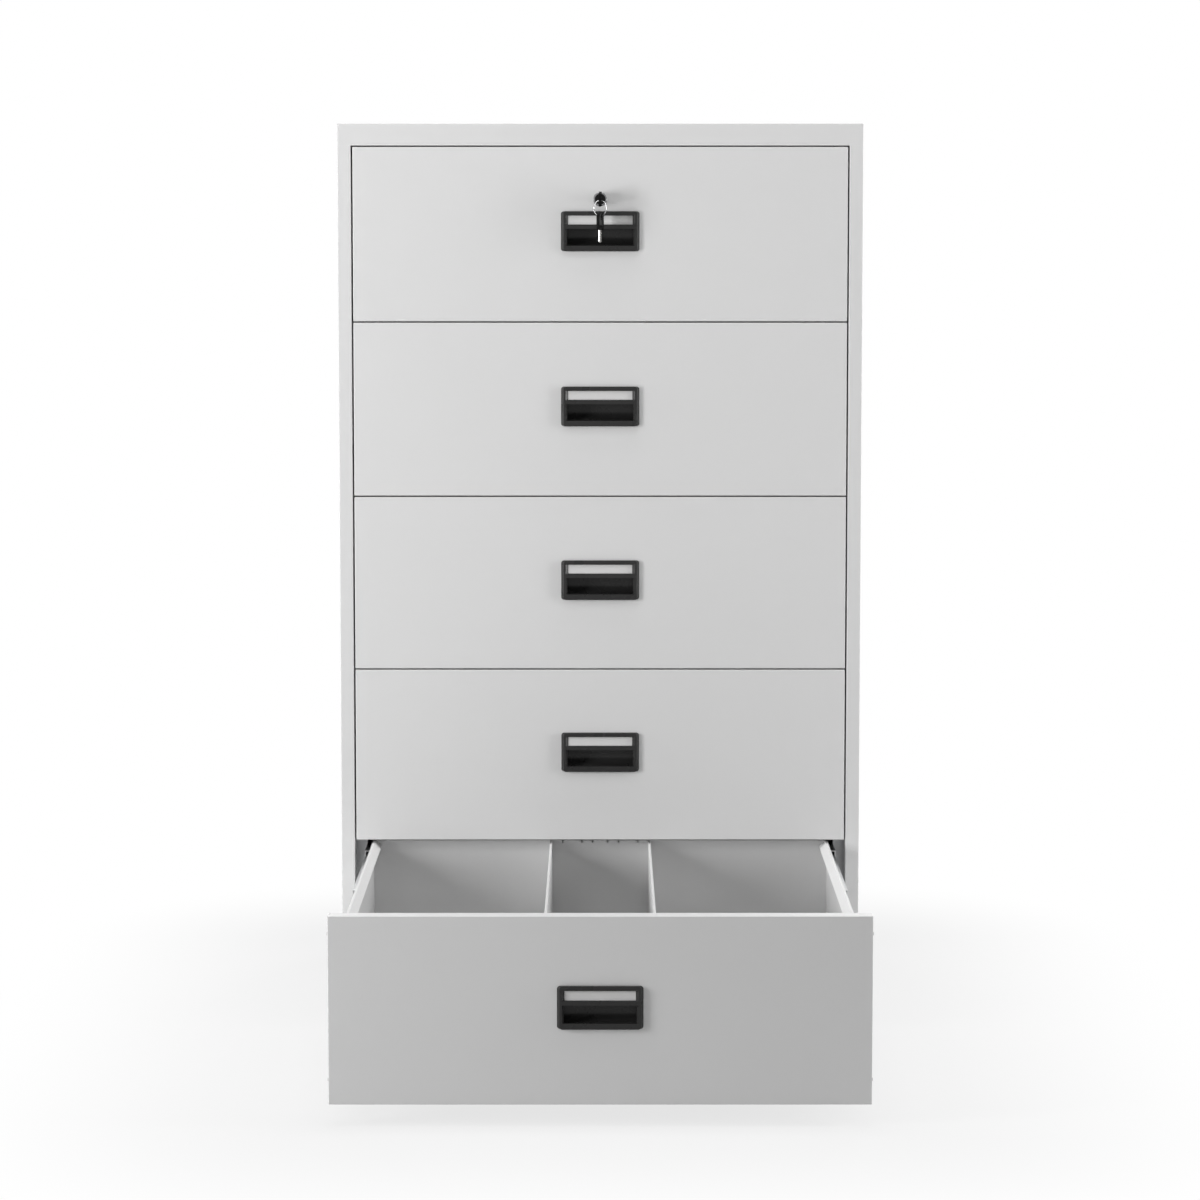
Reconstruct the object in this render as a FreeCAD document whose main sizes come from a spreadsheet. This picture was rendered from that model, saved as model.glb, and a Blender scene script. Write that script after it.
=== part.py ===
import FreeCAD, Part
import os
import re

import Sketcher

# Lateral filing cabinet, in millimetres. The front faces -Y, +X is to the right and +Z is up.
# The origin is on the floor, under the middle of the carcass. The bottom drawer stands open.

# Driving dimensions

SIZES = {
    # Carcass
    "cab_width": 775.0,
    "cab_depth": 630.0,
    "sheet": 1.0,
    "plinth_height": 28.0,
    "rail_height": 32.3,
    "stile_face": 20.0,
    "stile_return": 25.0,
    "rear_flange": 20.0,
    "cap_flange": 26.0,
    "back_fold": 12.0,
    "base_lip": 15.0,
    "edge_radius": 1.2,
    # Drawer fronts
    "front_height": 256.55,
    "front_thickness": 22.0,
    "front_flange": 35.0,
    "front_gap": 2.0,
    "side_gap": 2.5,
    # Drawer trays
    "rear_space": 45.0,
    "travel_short": 3.0,
    "tray_rise": 6.0,
    "tray_drop": 3.0,
    "wall_strip": 3.0,
    "wall_lip": 9.0,
    "notch_width": 2.4,
    "notch_depth": 4.0,
    "notch_near": 11.2,
    "notch_middle": 27.6,
    "notch_far": 56.5,
    # Dividers
    "divider_place": 73.75,
    "divider_drop": 1.0,
    "divider_hem": 3.0,
    "divider_hem_drop": 8.0,
    "divider_foot": 12.0,
    # Telescopic runners
    "runner_width": 13.0,
    "runner_thickness": 1.2,
    "runner_end": 2.0,
    "runner_short": 5.0,
    "runner_drop": 16.0,
    "outer_height": 45.0,
    "outer_flange": 10.6,
    "middle_height": 33.6,
    "middle_flange": 8.2,
    "inner_height": 22.0,
    "race_gap": 0.5,
    # Uprights and the interlock bar
    "upright_thickness": 1.2,
    "upright_depth": 30.0,
    "upright_inset": 60.0,
    "upright_setback": 5.0,
    "slot_height": 10.0,
    "slot_width": 4.0,
    "slot_spread": 12.0,
    "bar_width": 15.0,
    "bar_thickness": 2.0,
    "bar_foot": 30.0,
    "bar_head": 40.0,
    "bar_notch": 6.0,
    # Levelling feet
    "foot_inset": 55.0,
    "foot_setback": 40.0,
    "foot_pad_radius": 15.0,
    "foot_pad_height": 6.0,
    "stud_radius": 5.0,
    "stud_rise": 6.0,
    "nut_radius": 9.0,
    "nut_height": 8.0,
    # Handles and labels
    "handle_drop": 123.8,
    "bezel_width": 116.0,
    "bezel_height": 59.0,
    "bezel_proud": 5.0,
    "bezel_slope": 3.4,
    "bezel_corner": 4.0,
    "bezel_edge": 0.9,
    "bezel_rim": 3.3,
    "side_lap": 6.0,
    "top_lap": 3.3,
    "cup_wall": 1.8,
    "window_taper": 3.3,
    "window_lap": 6.2,
    "window_height": 13.7,
    "window_depth": 3.0,
    "middle_bar": 6.1,
    "scoop_taper": 2.3,
    "scoop_lap": 8.2,
    "scoop_depth": 17.0,
    "scoop_bar": 5.0,
    "scoop_rise": 8.0,
    "scoop_radius": 16.0,
    "scoop_back_radius": 6.0,
    "lug_length": 14.0,
    "lug_reach": 1.6,
    "lug_depth": 3.0,
    "card_thickness": 0.6,
    # Bumpers
    "bumper_radius": 2.2,
    "bumper_proud": 1.3,
    "bumper_high": 26.0,
    "bumper_low": 32.0,
    # Lock
    "lock_drop": 76.7,
    "collar_radius": 10.25,
    "collar_proud": 2.0,
    "collar_edge": 0.8,
    "barrel_radius": 9.5,
    "barrel_length": 15.0,
    "plug_radius": 8.0,
    "plug_proud": 1.6,
    "keyway_depth": 16.5,
    "tail_width": 6.0,
    "cam_gap": 1.2,
    "lock_nut_radius": 13.0,
    "lock_nut_thickness": 4.0,
    "cam_thickness": 2.0,
    "cam_width": 12.0,
    "pin_throw": 12.0,
    "pin_radius": 2.0,
    "bolt_thickness": 2.0,
    "bolt_width": 12.0,
    "bolt_plate_width": 34.0,
    "bolt_plate_low": 8.0,
    "bolt_plate_high": 12.0,
    "bolt_slack": 3.0,
    # Keys and their ring
    "bow_width": 22.0,
    "bow_length": 26.5,
    "bow_thickness": 4.4,
    "bow_end": 7.7,
    "bow_hole_radius": 4.0,
    "bow_radius": 6.0,
    "blade_width": 7.6,
    "blade_thickness": 2.2,
    "blade_length": 18.0,
    "tooth_depth": 1.6,
    "tooth_pitch": 4.0,
    "key_reach": 22.4,
    "ring_radius": 11.2,
    "ring_wire": 0.8,
    "ring_hang": 2.0,
    "spare_hang": 2.0,
    # Clearances
    "seat_gap": 0.3,
    "run_gap": 0.05,
    "overrun": 2.0,
}

# Angles in degrees, about the vertical
RING_TURN = -35.0
SPARE_TURN = -30.0

DRAWERS = 5
OPEN_DRAWER = DRAWERS
NOTCHES = ("notch_near", "notch_middle", "notch_far")

# Sizes that follow from the ones above
DERIVED = {
    "half_width": "cab_width / 2",
    "half_depth": "cab_depth / 2",
    "pitch": "front_height + front_gap",
    "carcass_height": f"plinth_height + {DRAWERS} * pitch + front_gap",
    "front_half": "half_width - stile_face - side_gap",
    "tray_half": "upright_face - runner_width",
    "upright_face": "half_width - stile_face - runner_width",
    "tray_top": "front_height - tray_drop",
    "tray_length": "cab_depth - front_thickness - rear_space",
    "tray_back": "front_thickness + tray_length",
    "travel": "tray_length - travel_short",
    "runner_middle": "tray_top - runner_drop - outer_height / 2",
    "runner_front": "front_thickness + runner_end",
    "runner_length": "tray_length - runner_end - runner_short",
    "rear_upright": "runner_front + runner_length - upright_depth - upright_setback",
    "base_back": "half_depth - 2 * sheet",
    "scoop_back": "scoop_depth + cup_wall",
    "bezel_face": "bezel_width / 2 - bezel_slope",
    "mouth_half": "bezel_face - bezel_rim",
    "window_half": "mouth_half - window_taper",
    "scoop_half": "mouth_half - scoop_taper",
    "window_high": "bezel_height / 2 - window_lap",
    "window_low": "window_high - window_height",
    "scoop_high": "window_low - middle_bar",
    "scoop_low": "bezel_height / 2 - scoop_lap",
    "cutout_half": "bezel_width / 2 - side_lap",
    "cutout_high": "bezel_height / 2 - top_lap",
    "cam_front": "barrel_length + cam_gap",
    "bolt_front": "cam_front + cam_thickness + seat_gap",
}

doc = FreeCAD.newDocument("filing_cabinet")
sheet = doc.addObject("Spreadsheet::Sheet", "Sizes")
for row, (alias, size) in enumerate(SIZES.items(), 1):
    sheet.set(f"A{row}", alias)
    sheet.set(f"B{row}", str(size))
    sheet.setAlias(f"B{row}", alias)
doc.recompute()

nodes = []


# Expressions, sketches and features


def cells(text):
    """Turn sizes named in plain words into an expression on the sheet's cells."""
    def swap(match):
        word = match.group()
        if word in DERIVED:
            return f"({cells(DERIVED[word])})"
        return f"Sizes.{word}" if word in SIZES else word
    return re.sub(r"[a-z_]+", swap, text)


def value(text):
    """Work out an expression in millimetres."""
    return float(sheet.evalExpression(cells(text)))


def bind(item, name, text):
    item.setExpression(name, cells(text))


def new_body(label):
    body = doc.addObject("PartDesign::Body", label)
    body.Label = label
    return body


def place(item, x="0", y="0", z="0"):
    """Bind an object's place to sizes."""
    for axis, text in zip("xyz", (x, y, z)):
        bind(item, f"Placement.Base.{axis}", text)


def sketch_on(body, role, at):
    """Start a sketch on one of the body's planes, moved along +X, +Y or +Z by an expression."""
    sketch = body.newObject("Sketcher::SketchObject", f"{body.Name}_sketch")
    plane = next(f for f in body.Origin.OriginFeatures if f.Role == role)
    sketch.AttachmentSupport = [(plane, "")]
    sketch.MapMode = "FlatFace"
    sign = "-" if role == "XZ_Plane" else ""
    bind(sketch, "AttachmentOffset.Base.z", f"{sign}({at})")
    return sketch


def draw_outline(sketch, points):
    """Draw a closed outline and bind each corner to its two expressions."""
    corners = [FreeCAD.Vector(value(x), value(y), 0) for x, y in points]
    count = len(corners)
    first = sketch.GeometryCount
    for index, corner in enumerate(corners):
        sketch.addGeometry(Part.LineSegment(corner, corners[(index + 1) % count]), False)
    for index, (x, y) in enumerate(points):
        line = first + index
        following = first + (index + 1) % count
        sketch.addConstraint(Sketcher.Constraint("Coincident", line, 2, following, 1))
        across = sketch.addConstraint(Sketcher.Constraint("DistanceX", -1, 1, line, 1, corners[index].x))
        bind(sketch, f"Constraints[{across}]", x)
        along = sketch.addConstraint(Sketcher.Constraint("DistanceY", -1, 1, line, 1, corners[index].y))
        bind(sketch, f"Constraints[{along}]", y)


def draw_circle(sketch, x, y, radius):
    """Draw a circle and bind its centre and radius."""
    centre = FreeCAD.Vector(value(x), value(y), 0)
    circle = sketch.addGeometry(Part.Circle(centre, FreeCAD.Vector(0, 0, 1), value(radius)), False)
    across = sketch.addConstraint(Sketcher.Constraint("DistanceX", -1, 1, circle, 3, centre.x))
    bind(sketch, f"Constraints[{across}]", x)
    along = sketch.addConstraint(Sketcher.Constraint("DistanceY", -1, 1, circle, 3, centre.y))
    bind(sketch, f"Constraints[{along}]", y)
    size = sketch.addConstraint(Sketcher.Constraint("Radius", circle, value(radius)))
    bind(sketch, f"Constraints[{size}]", radius)


def box_points(x_low, x_high, y_low, y_high):
    return [(x_low, y_low), (x_high, y_low), (x_high, y_high), (x_low, y_high)]


def centred_box(half, low, high):
    """A rectangle with the middle line down its centre, twice half wide."""
    return box_points(f"-({half})", half, low, high)


def extrude(body, kind, role, at, length, outlines=(), circles=()):
    """Pad or pocket outlines and circles from a plane at one place, towards +X, +Y or +Z."""
    sketch = sketch_on(body, role, at)
    for points in outlines:
        draw_outline(sketch, points)
    for x, y, radius in circles:
        draw_circle(sketch, x, y, radius)
    feature = body.newObject(f"PartDesign::{kind}", f"{body.Name}_{kind}")
    feature.Profile = sketch
    bind(feature, "Length", length)
    towards_minus = role == "XZ_Plane"
    feature.Reversed = towards_minus if kind == "Pad" else not towards_minus
    return feature


def pad(body, role, at, length, outlines=(), circles=()):
    return extrude(body, "Pad", role, at, length, outlines, circles)


def pocket(body, role, at, length, outlines=(), circles=()):
    return extrude(body, "Pocket", role, at, length, outlines, circles)


def round_edges(body, radius, wanted):
    """Fillet the edges whose middle and direction pass the test."""
    doc.recompute()
    base = body.Tip
    names = []
    for number, edge in enumerate(base.Shape.Edges, 1):
        middle = edge.valueAt((edge.FirstParameter + edge.LastParameter) / 2)
        if edge.Curve.TypeId == "Part::GeomLine" and wanted(middle, edge.Curve.Direction):
            names.append(f"Edge{number}")
    fillet = body.newObject("PartDesign::Fillet", f"{body.Name}_fillet")
    fillet.Base = (base, names)
    bind(fillet, "Radius", radius)
    return fillet


def repeat_up(body, feature, count):
    """Repeat a feature up the body, one drawer pitch apart."""
    pattern = body.newObject("PartDesign::LinearPattern", f"{body.Name}_pattern")
    pattern.Originals = [feature]
    axis = next(f for f in body.Origin.OriginFeatures if f.Role == "Z_Axis")
    pattern.Direction = (axis, [""])
    bind(pattern, "Length", f"{count - 1} * (pitch)")
    pattern.Occurrences = count
    body.Tip = pattern
    return pattern


def near(number, target):
    """Whether two lengths agree to a thousandth of the sheet's thickness."""
    return abs(number - target) < value("sheet") / 1000


def mirror_of(item, label):
    """The same piece on the left side."""
    mirror = doc.addObject("Part::Mirroring", label)
    mirror.Label = label
    mirror.Source = item
    mirror.Normal = FreeCAD.Vector(1, 0, 0)
    return mirror


def group_of(label, items):
    """One node of several separate solids."""
    group = doc.addObject("Part::Compound", label)
    group.Label = label
    group.Links = items
    return group


def keep(item):
    nodes.append(item)
    return item


# Carcass


def make_side_panel():
    """The right side: outer wall, front stile with its return, and rear flange, folded from one sheet."""
    body = new_body("side_panel_right")
    outer = "half_width"
    inner = "half_width - sheet"
    stile = "half_width - stile_face"
    front = "-half_depth"
    pad(body, "XY_Plane", "0", "carcass_height", [[
        (outer, front),
        (outer, "half_depth"),
        ("half_width - rear_flange", "half_depth"),
        ("half_width - rear_flange", "half_depth - sheet"),
        (inner, "half_depth - sheet"),
        (inner, f"{front} + sheet"),
        (f"{stile} + sheet", f"{front} + sheet"),
        (f"{stile} + sheet", f"{front} + stile_return"),
        (stile, f"{front} + stile_return"),
        (stile, front),
    ]])
    depth = value("half_depth")
    visible = (value(outer), value(stile))

    def outside_corner(middle, direction):
        upright = abs(direction.z) > 0.5
        at_front = near(middle.y, -depth) and any(near(middle.x, x) for x in visible)
        at_rear = near(middle.y, depth) and near(middle.x, visible[0])
        return upright and (at_front or at_rear)

    round_edges(body, "edge_radius", outside_corner)
    keep(body)
    keep(mirror_of(body, "side_panel_left"))


def make_top_cap():
    """The lid: a shallow box, open below inside a flange that rests on the sides."""
    body = new_body("top_cap")
    pad(body, "XY_Plane", "0", "rail_height", [centred_box("half_width", "-half_depth", "half_depth")])
    width, depth, height = value("half_width"), value("half_depth"), value("rail_height")

    def outside_edge(middle, direction):
        corner = near(abs(middle.x), width) and near(abs(middle.y), depth)
        top = near(middle.z, height)
        return corner or top

    round_edges(body, "edge_radius", outside_edge)
    pocket(body, "XY_Plane", "sheet", "rail_height - 2 * sheet",
           [centred_box("half_width - sheet", "sheet - half_depth", "half_depth - sheet")])
    pocket(body, "XY_Plane", "-overrun", "sheet + 2 * overrun",
           [centred_box("half_width - cap_flange", "cap_flange - half_depth", "half_depth - cap_flange")])
    pocket(body, "XY_Plane", "-overrun", "sheet + 2 * overrun",
           [centred_box("bolt_width / 2 + seat_gap", "bolt_front - seat_gap - half_depth",
                        "bolt_front + bolt_thickness + seat_gap - half_depth")])
    place(body, z="carcass_height")
    keep(body)


def make_back_panel():
    """The back sheet, with a fold along each upright edge."""
    body = new_body("back_panel")
    edge = "half_width - sheet - seat_gap"
    back = "half_depth - sheet"
    fold = f"{back} - sheet - back_fold"
    pad(body, "XY_Plane", "0", "carcass_height - plinth_height", [[
        (edge, back),
        (f"-({edge})", back),
        (f"-({edge})", fold),
        (f"sheet - ({edge})", fold),
        (f"sheet - ({edge})", f"{back} - sheet"),
        (f"{edge} - sheet", f"{back} - sheet"),
        (f"{edge} - sheet", fold),
        (edge, fold),
    ]])
    place(body, z="plinth_height")
    keep(body)


def base_points(inset):
    """The base's outline, narrower between the stiles and drawn in by an inset."""
    front = f"{inset} - half_depth"
    step = f"{inset} + stile_return + seat_gap - half_depth"
    back = f"base_back - {inset}"
    narrow = f"half_width - stile_face - seat_gap - {inset}"
    wide = f"half_width - sheet - seat_gap - {inset}"
    return [
        (f"-({narrow})", front), (narrow, front), (narrow, step), (wide, step),
        (wide, back), (f"-({wide})", back), (f"-({wide})", step), (f"-({narrow})", step),
    ]


def foot_places():
    """The four feet, as a name and the expressions of their places."""
    across = "half_width - foot_inset"
    along = "half_depth - foot_setback"
    return [
        ("front_left", f"-({across})", f"-({along})"),
        ("front_right", across, f"-({along})"),
        ("rear_left", f"-({across})", along),
        ("rear_right", across, along),
    ]


def make_base_pan():
    """The plinth and deck: a tray turned over, with a lip to stand on and nuts for the feet."""
    body = new_body("base_pan")
    pad(body, "XY_Plane", "0", "plinth_height", [base_points("0")])
    pocket(body, "XY_Plane", "sheet", "plinth_height - 2 * sheet", [base_points("sheet")])
    pocket(body, "XY_Plane", "-overrun", "overrun + 2 * sheet", [base_points("base_lip")])
    under_deck = "plinth_height - sheet - nut_height"
    pad(body, "XY_Plane", under_deck, "nut_height + sheet / 2", [],
        [(x, y, "nut_radius") for _, x, y in foot_places()])
    pocket(body, "XY_Plane", f"{under_deck} - overrun", "nut_height + sheet + 2 * overrun", [],
           [(x, y, "stud_radius + run_gap") for _, x, y in foot_places()])
    keep(body)


def make_feet():
    """A levelling screw with its pad in each corner, screwed up so that the plinth stands too."""
    for name, x, y in foot_places():
        body = new_body(f"levelling_foot_{name}")
        pad(body, "XY_Plane", "0", "foot_pad_height", [], [("0", "0", "foot_pad_radius")])
        pad(body, "XY_Plane", "foot_pad_height", "plinth_height + stud_rise - foot_pad_height", [],
            [("0", "0", "stud_radius")])
        pocket(body, "XY_Plane", "plinth_height + sheet", "stud_rise + overrun",
               [centred_box("stud_radius + overrun", "-sheet", "sheet")])
        place(body, x=x, y=y)
        keep(body)


def make_upright(label, front):
    """A right-hand slotted channel that carries the runners."""
    body = new_body(label)
    face = "upright_face"
    wall = "half_width - sheet"
    back = f"{front} + upright_depth"
    pad(body, "XY_Plane", "plinth_height", "carcass_height - plinth_height", [[
        (wall, front),
        (wall, f"{front} + upright_thickness"),
        (f"{face} + upright_thickness", f"{front} + upright_thickness"),
        (f"{face} + upright_thickness", f"{back} - upright_thickness"),
        (wall, f"{back} - upright_thickness"),
        (wall, back),
        (face, back),
        (face, front),
    ]])
    middle = f"{front} + upright_depth / 2"
    slots = []
    for side in ("-", ""):
        low = f"plinth_height + front_gap + runner_middle {side or '+'} slot_spread - slot_height / 2"
        slots.append(box_points(f"{middle} - slot_width / 2", f"{middle} + slot_width / 2",
                                low, f"{low} + slot_height"))
    cut = pocket(body, "YZ_Plane", f"{face} - overrun", "upright_thickness + 2 * overrun", slots)
    repeat_up(body, cut, DRAWERS)
    return body


def make_uprights():
    """Two channels on each side, a little behind the stiles and near the back."""
    front = "stile_return + upright_inset - half_depth"
    items = []
    for label, start in (("front_upright", front), ("rear_upright", "rear_upright - half_depth")):
        right = make_upright(f"{label}_right", start)
        items += [right, mirror_of(right, f"{label}_left")]
    keep(group_of("uprights", items))


def make_interlock_bar():
    """The bar in the right front channel that lets only one drawer out at a time."""
    body = new_body("interlock_bar")
    inner = "upright_face + upright_thickness + seat_gap"
    front = "stile_return + upright_inset + (upright_depth - bar_width) / 2 - half_depth"
    low = "plinth_height + bar_foot"
    pad(body, "YZ_Plane", inner, "bar_thickness",
        [box_points(front, f"{front} + bar_width", low, "carcass_height - bar_head")])
    low = "plinth_height + front_gap + runner_middle - bar_notch"
    notch = box_points(f"{front} - overrun", f"{front} + bar_notch", low, f"{low} + 2 * bar_notch")
    cut = pocket(body, "YZ_Plane", f"{inner} - overrun", "bar_thickness + 2 * overrun", [notch])
    repeat_up(body, cut, DRAWERS)
    keep(body)


# Telescopic runners


def channel_points(back, tips, height, open_inwards):
    """A C section on its side: its web at back, its two flanges out to tips."""
    web = f"{back} - runner_thickness" if open_inwards else f"{back} + runner_thickness"
    inside = f"{height} / 2 - runner_thickness"
    outside = f"{height} / 2"
    return [
        (back, f"-({outside})"), (tips, f"-({outside})"), (tips, f"-({inside})"), (web, f"-({inside})"),
        (web, inside), (tips, inside), (tips, outside), (back, outside),
    ]


def make_pair(label, section):
    """Two runner members as one group, the right one made and the left one mirrored."""
    right = new_body(f"{label}_right")
    pad(right, "XZ_Plane", "runner_front", "runner_length", [section])
    place(right, z="runner_middle")
    return group_of(label, [right, mirror_of(right, f"{label}_left")])


def outer_section():
    return channel_points("upright_face", "upright_face - outer_flange", "outer_height", True)


def middle_section():
    back = "upright_face - runner_thickness - race_gap"
    return channel_points(back, f"{back} - middle_flange", "middle_height", True)


def inner_section():
    tips = "upright_face - 2 * (runner_thickness + race_gap)"
    return channel_points("tray_half", tips, "inner_height", False)


# Drawers


def drawer_z(number):
    """The height of a drawer front's bottom edge."""
    return f"plinth_height + front_gap + {DRAWERS - number} * (pitch)"


def drawer_y(number, share=1):
    """Where a drawer stands, or a piece that goes a share of its way."""
    return f"-half_depth - {share} * (travel)" if number == OPEN_DRAWER else "-half_depth"


def make_front(number):
    """A drawer front: a folded pan with a returned edge, cut out for the handle."""
    body = new_body(f"drawer_{number}_front")
    pad(body, "XZ_Plane", "0", "front_thickness", [centred_box("front_half", "0", "front_height")])
    half, height = value("front_half"), value("front_height")

    def outside_edge(middle, direction):
        side = near(abs(middle.x), half)
        level = near(middle.z, 0) or near(middle.z, height)
        return (side and level) or (near(middle.y, 0) and (side or level))

    round_edges(body, "edge_radius", outside_edge)
    pocket(body, "XZ_Plane", "sheet", "front_thickness - 2 * sheet",
           [centred_box("front_half - sheet", "sheet", "front_height - sheet")])
    pocket(body, "XZ_Plane", "front_thickness - 2 * sheet", "2 * sheet + overrun",
           [centred_box("front_half - front_flange", "front_flange", "front_height - front_flange")])
    pocket(body, "XZ_Plane", "-overrun", "2 * overrun",
           [centred_box("cutout_half", "front_height - handle_drop - cutout_high",
                        "front_height - handle_drop + cutout_high")])
    if number == 1:
        pocket(body, "XZ_Plane", "-overrun", "2 * overrun", [],
               [("0", "front_height - lock_drop", "barrel_radius + run_gap")])
        pocket(body, "XY_Plane", "front_height - 2 * sheet", "2 * sheet + overrun",
               [centred_box("bolt_width / 2 + seat_gap", "bolt_front - seat_gap",
                            "bolt_front + bolt_thickness + seat_gap")])
    place(body, y=drawer_y(number), z=drawer_z(number))
    keep(body)


def tray_side():
    """The right-hand half of the tray's section, from the floor's outer corner inwards over the lip."""
    lip = "tray_half - wall_strip - wall_lip"
    return [
        ("tray_half", "tray_rise"),
        ("tray_half", "tray_top"),
        ("tray_half - wall_strip", "tray_top"),
        (lip, "tray_top - wall_lip"),
        (lip, "tray_top - wall_lip - sheet * sqrt(2)"),
        ("tray_half - wall_strip + sheet * (sqrt(2) - 1)", "tray_top - sheet"),
        ("tray_half - sheet", "tray_top - sheet"),
        ("tray_half - sheet", "tray_rise + sheet"),
    ]


def make_tray(number):
    """A tray: floor and lipped walls folded from one sheet, with a front wall and a notched back."""
    body = new_body(f"drawer_{number}_tray")
    right = tray_side()
    left = [(f"-({x})", z) for x, z in reversed(right)]
    pad(body, "XZ_Plane", "front_thickness", "tray_length", [right + left])
    wall = centred_box("tray_half - sheet / 2", "tray_rise + sheet / 2", "tray_top")
    pad(body, "XZ_Plane", "front_thickness", "sheet", [wall])
    pad(body, "XZ_Plane", "tray_back - sheet", "sheet", [wall])
    notches = []
    for side in ("-", ""):
        for notch in NOTCHES:
            low = f"{side}{notch} - notch_width / 2"
            notches.append(box_points(low, f"{low} + notch_width",
                                      "tray_top - notch_depth", "tray_top + overrun"))
    pocket(body, "XZ_Plane", "tray_back - 2 * sheet", "2 * sheet + overrun", notches)
    place(body, y=drawer_y(number), z=drawer_z(number))
    keep(body)


def make_dividers(number):
    """Two dividers, each with a foot on the tray's floor and a hem along its top."""
    right = new_body(f"drawer_{number}_divider_right")
    side = "divider_place - divider_hem / 2"
    low = "tray_rise + sheet"
    high = "tray_top - divider_drop"
    pad(right, "XZ_Plane", "front_thickness + sheet", "tray_length - 2 * sheet", [[
        (f"{side} - divider_foot", low),
        (f"{side} + sheet", low),
        (f"{side} + sheet", f"{high} - sheet"),
        (f"{side} + divider_hem - sheet", f"{high} - sheet"),
        (f"{side} + divider_hem - sheet", f"{high} - divider_hem_drop"),
        (f"{side} + divider_hem", f"{high} - divider_hem_drop"),
        (f"{side} + divider_hem", high),
        (side, high),
        (side, f"{low} + sheet"),
        (f"{side} - divider_foot", f"{low} + sheet"),
    ]])
    left = mirror_of(right, f"drawer_{number}_divider_left")
    group = group_of(f"drawer_{number}_dividers", [right, left])
    place(group, y=drawer_y(number), z=drawer_z(number))
    keep(group)


def sloped_sides(back_half, back, front_half, front):
    """A section across the handle whose two ends slope from a back width to a front width."""
    return [(f"-({back_half})", back), (back_half, back), (front_half, front), (f"-({front_half})", front)]


def make_handle(number):
    """A moulded bezel with a label window over a finger scoop, held in the front by lugs."""
    body = new_body(f"drawer_{number}_handle")
    tall = value("bezel_height") / 2
    wide = value("bezel_face")
    pad(body, "XY_Plane", "-bezel_height / 2", "bezel_height",
        [sloped_sides("bezel_width / 2", "0", "bezel_face", "-bezel_proud")])
    round_edges(body, "bezel_corner", lambda middle, direction: abs(direction.y) > 0.5)

    def front_rim(middle, direction):
        edge = near(abs(middle.x), wide) or near(abs(middle.z), tall)
        return near(middle.y, -value("bezel_proud")) and edge

    round_edges(body, "bezel_edge", front_rim)
    cup_half = "cutout_half - seat_gap"
    cup_high = "cutout_high - seat_gap"
    ledge = "scoop_rise + scoop_high + cup_wall"
    pad(body, "YZ_Plane", f"-({cup_half})", f"2 * ({cup_half})", [[
        ("-bezel_proud / 2", cup_high),
        ("scoop_bar", cup_high),
        ("scoop_bar", ledge),
        ("scoop_back", ledge),
        ("scoop_back", f"-({cup_high})"),
        ("-bezel_proud / 2", f"-({cup_high})"),
    ]])
    pocket(body, "YZ_Plane", "-(scoop_half)", "2 * (scoop_half)", [[
        ("-bezel_proud - overrun", "scoop_high"),
        ("scoop_bar - bezel_proud", "scoop_high"),
        ("scoop_bar - bezel_proud", "scoop_high + scoop_rise"),
        ("scoop_depth", "scoop_high + scoop_rise"),
        ("scoop_depth", "-scoop_low"),
        ("-bezel_proud - overrun", "-scoop_low"),
    ]])
    deep, floor, roof = value("scoop_depth"), -value("scoop_low"), value("scoop_high + scoop_rise")
    round_edges(body, "scoop_radius",
                lambda middle, direction: near(middle.y, deep) and near(middle.z, floor))
    round_edges(body, "scoop_back_radius",
                lambda middle, direction: near(middle.y, deep) and near(middle.z, roof))
    back, low, high = value("scoop_back"), -value(cup_high), value(ledge)
    round_edges(body, "scoop_radius + cup_wall",
                lambda middle, direction: near(middle.y, back) and near(middle.z, low))
    round_edges(body, "scoop_back_radius + cup_wall",
                lambda middle, direction: near(middle.y, back) and near(middle.z, high))
    pocket(body, "XY_Plane", "window_low", "window_high - window_low",
           [sloped_sides("window_half", "window_depth - bezel_proud", "mouth_half", "-bezel_proud")])
    pocket(body, "XY_Plane", "-scoop_low", "scoop_low + scoop_high",
           [sloped_sides("scoop_half", "window_depth - bezel_proud", "mouth_half", "-bezel_proud")])
    root, tip = "scoop_half + cup_wall / 2", "cutout_half + lug_reach"
    pad(body, "XZ_Plane", "sheet + seat_gap", "lug_depth", [
        box_points(root, tip, "-lug_length / 2", "lug_length / 2"),
        box_points(f"-({tip})", f"-({root})", "-lug_length / 2", "lug_length / 2"),
    ])
    place(body, y=drawer_y(number), z=f"{drawer_z(number)} + front_height - handle_drop")
    keep(body)


def make_label(number):
    """The card behind the label window."""
    body = new_body(f"drawer_{number}_label")
    floor = "window_depth - bezel_proud"
    pad(body, "XZ_Plane", f"{floor} - card_thickness", "card_thickness",
        [centred_box("window_half - seat_gap", "window_low + seat_gap", "window_high - seat_gap")])
    place(body, y=drawer_y(number), z=f"{drawer_z(number)} + front_height - handle_drop")
    keep(body)


def make_bumpers(number):
    """Small buttons on the front's two side edges."""
    right = new_body(f"drawer_{number}_bumpers_right")
    pad(right, "YZ_Plane", "front_half", "bumper_proud", [], [
        ("front_thickness / 2", "bumper_low", "bumper_radius"),
        ("front_thickness / 2", "front_height - bumper_high", "bumper_radius"),
    ])
    left = mirror_of(right, f"drawer_{number}_bumpers_left")
    group = group_of(f"drawer_{number}_bumpers", [right, left])
    place(group, y=drawer_y(number), z=drawer_z(number))
    keep(group)


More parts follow.
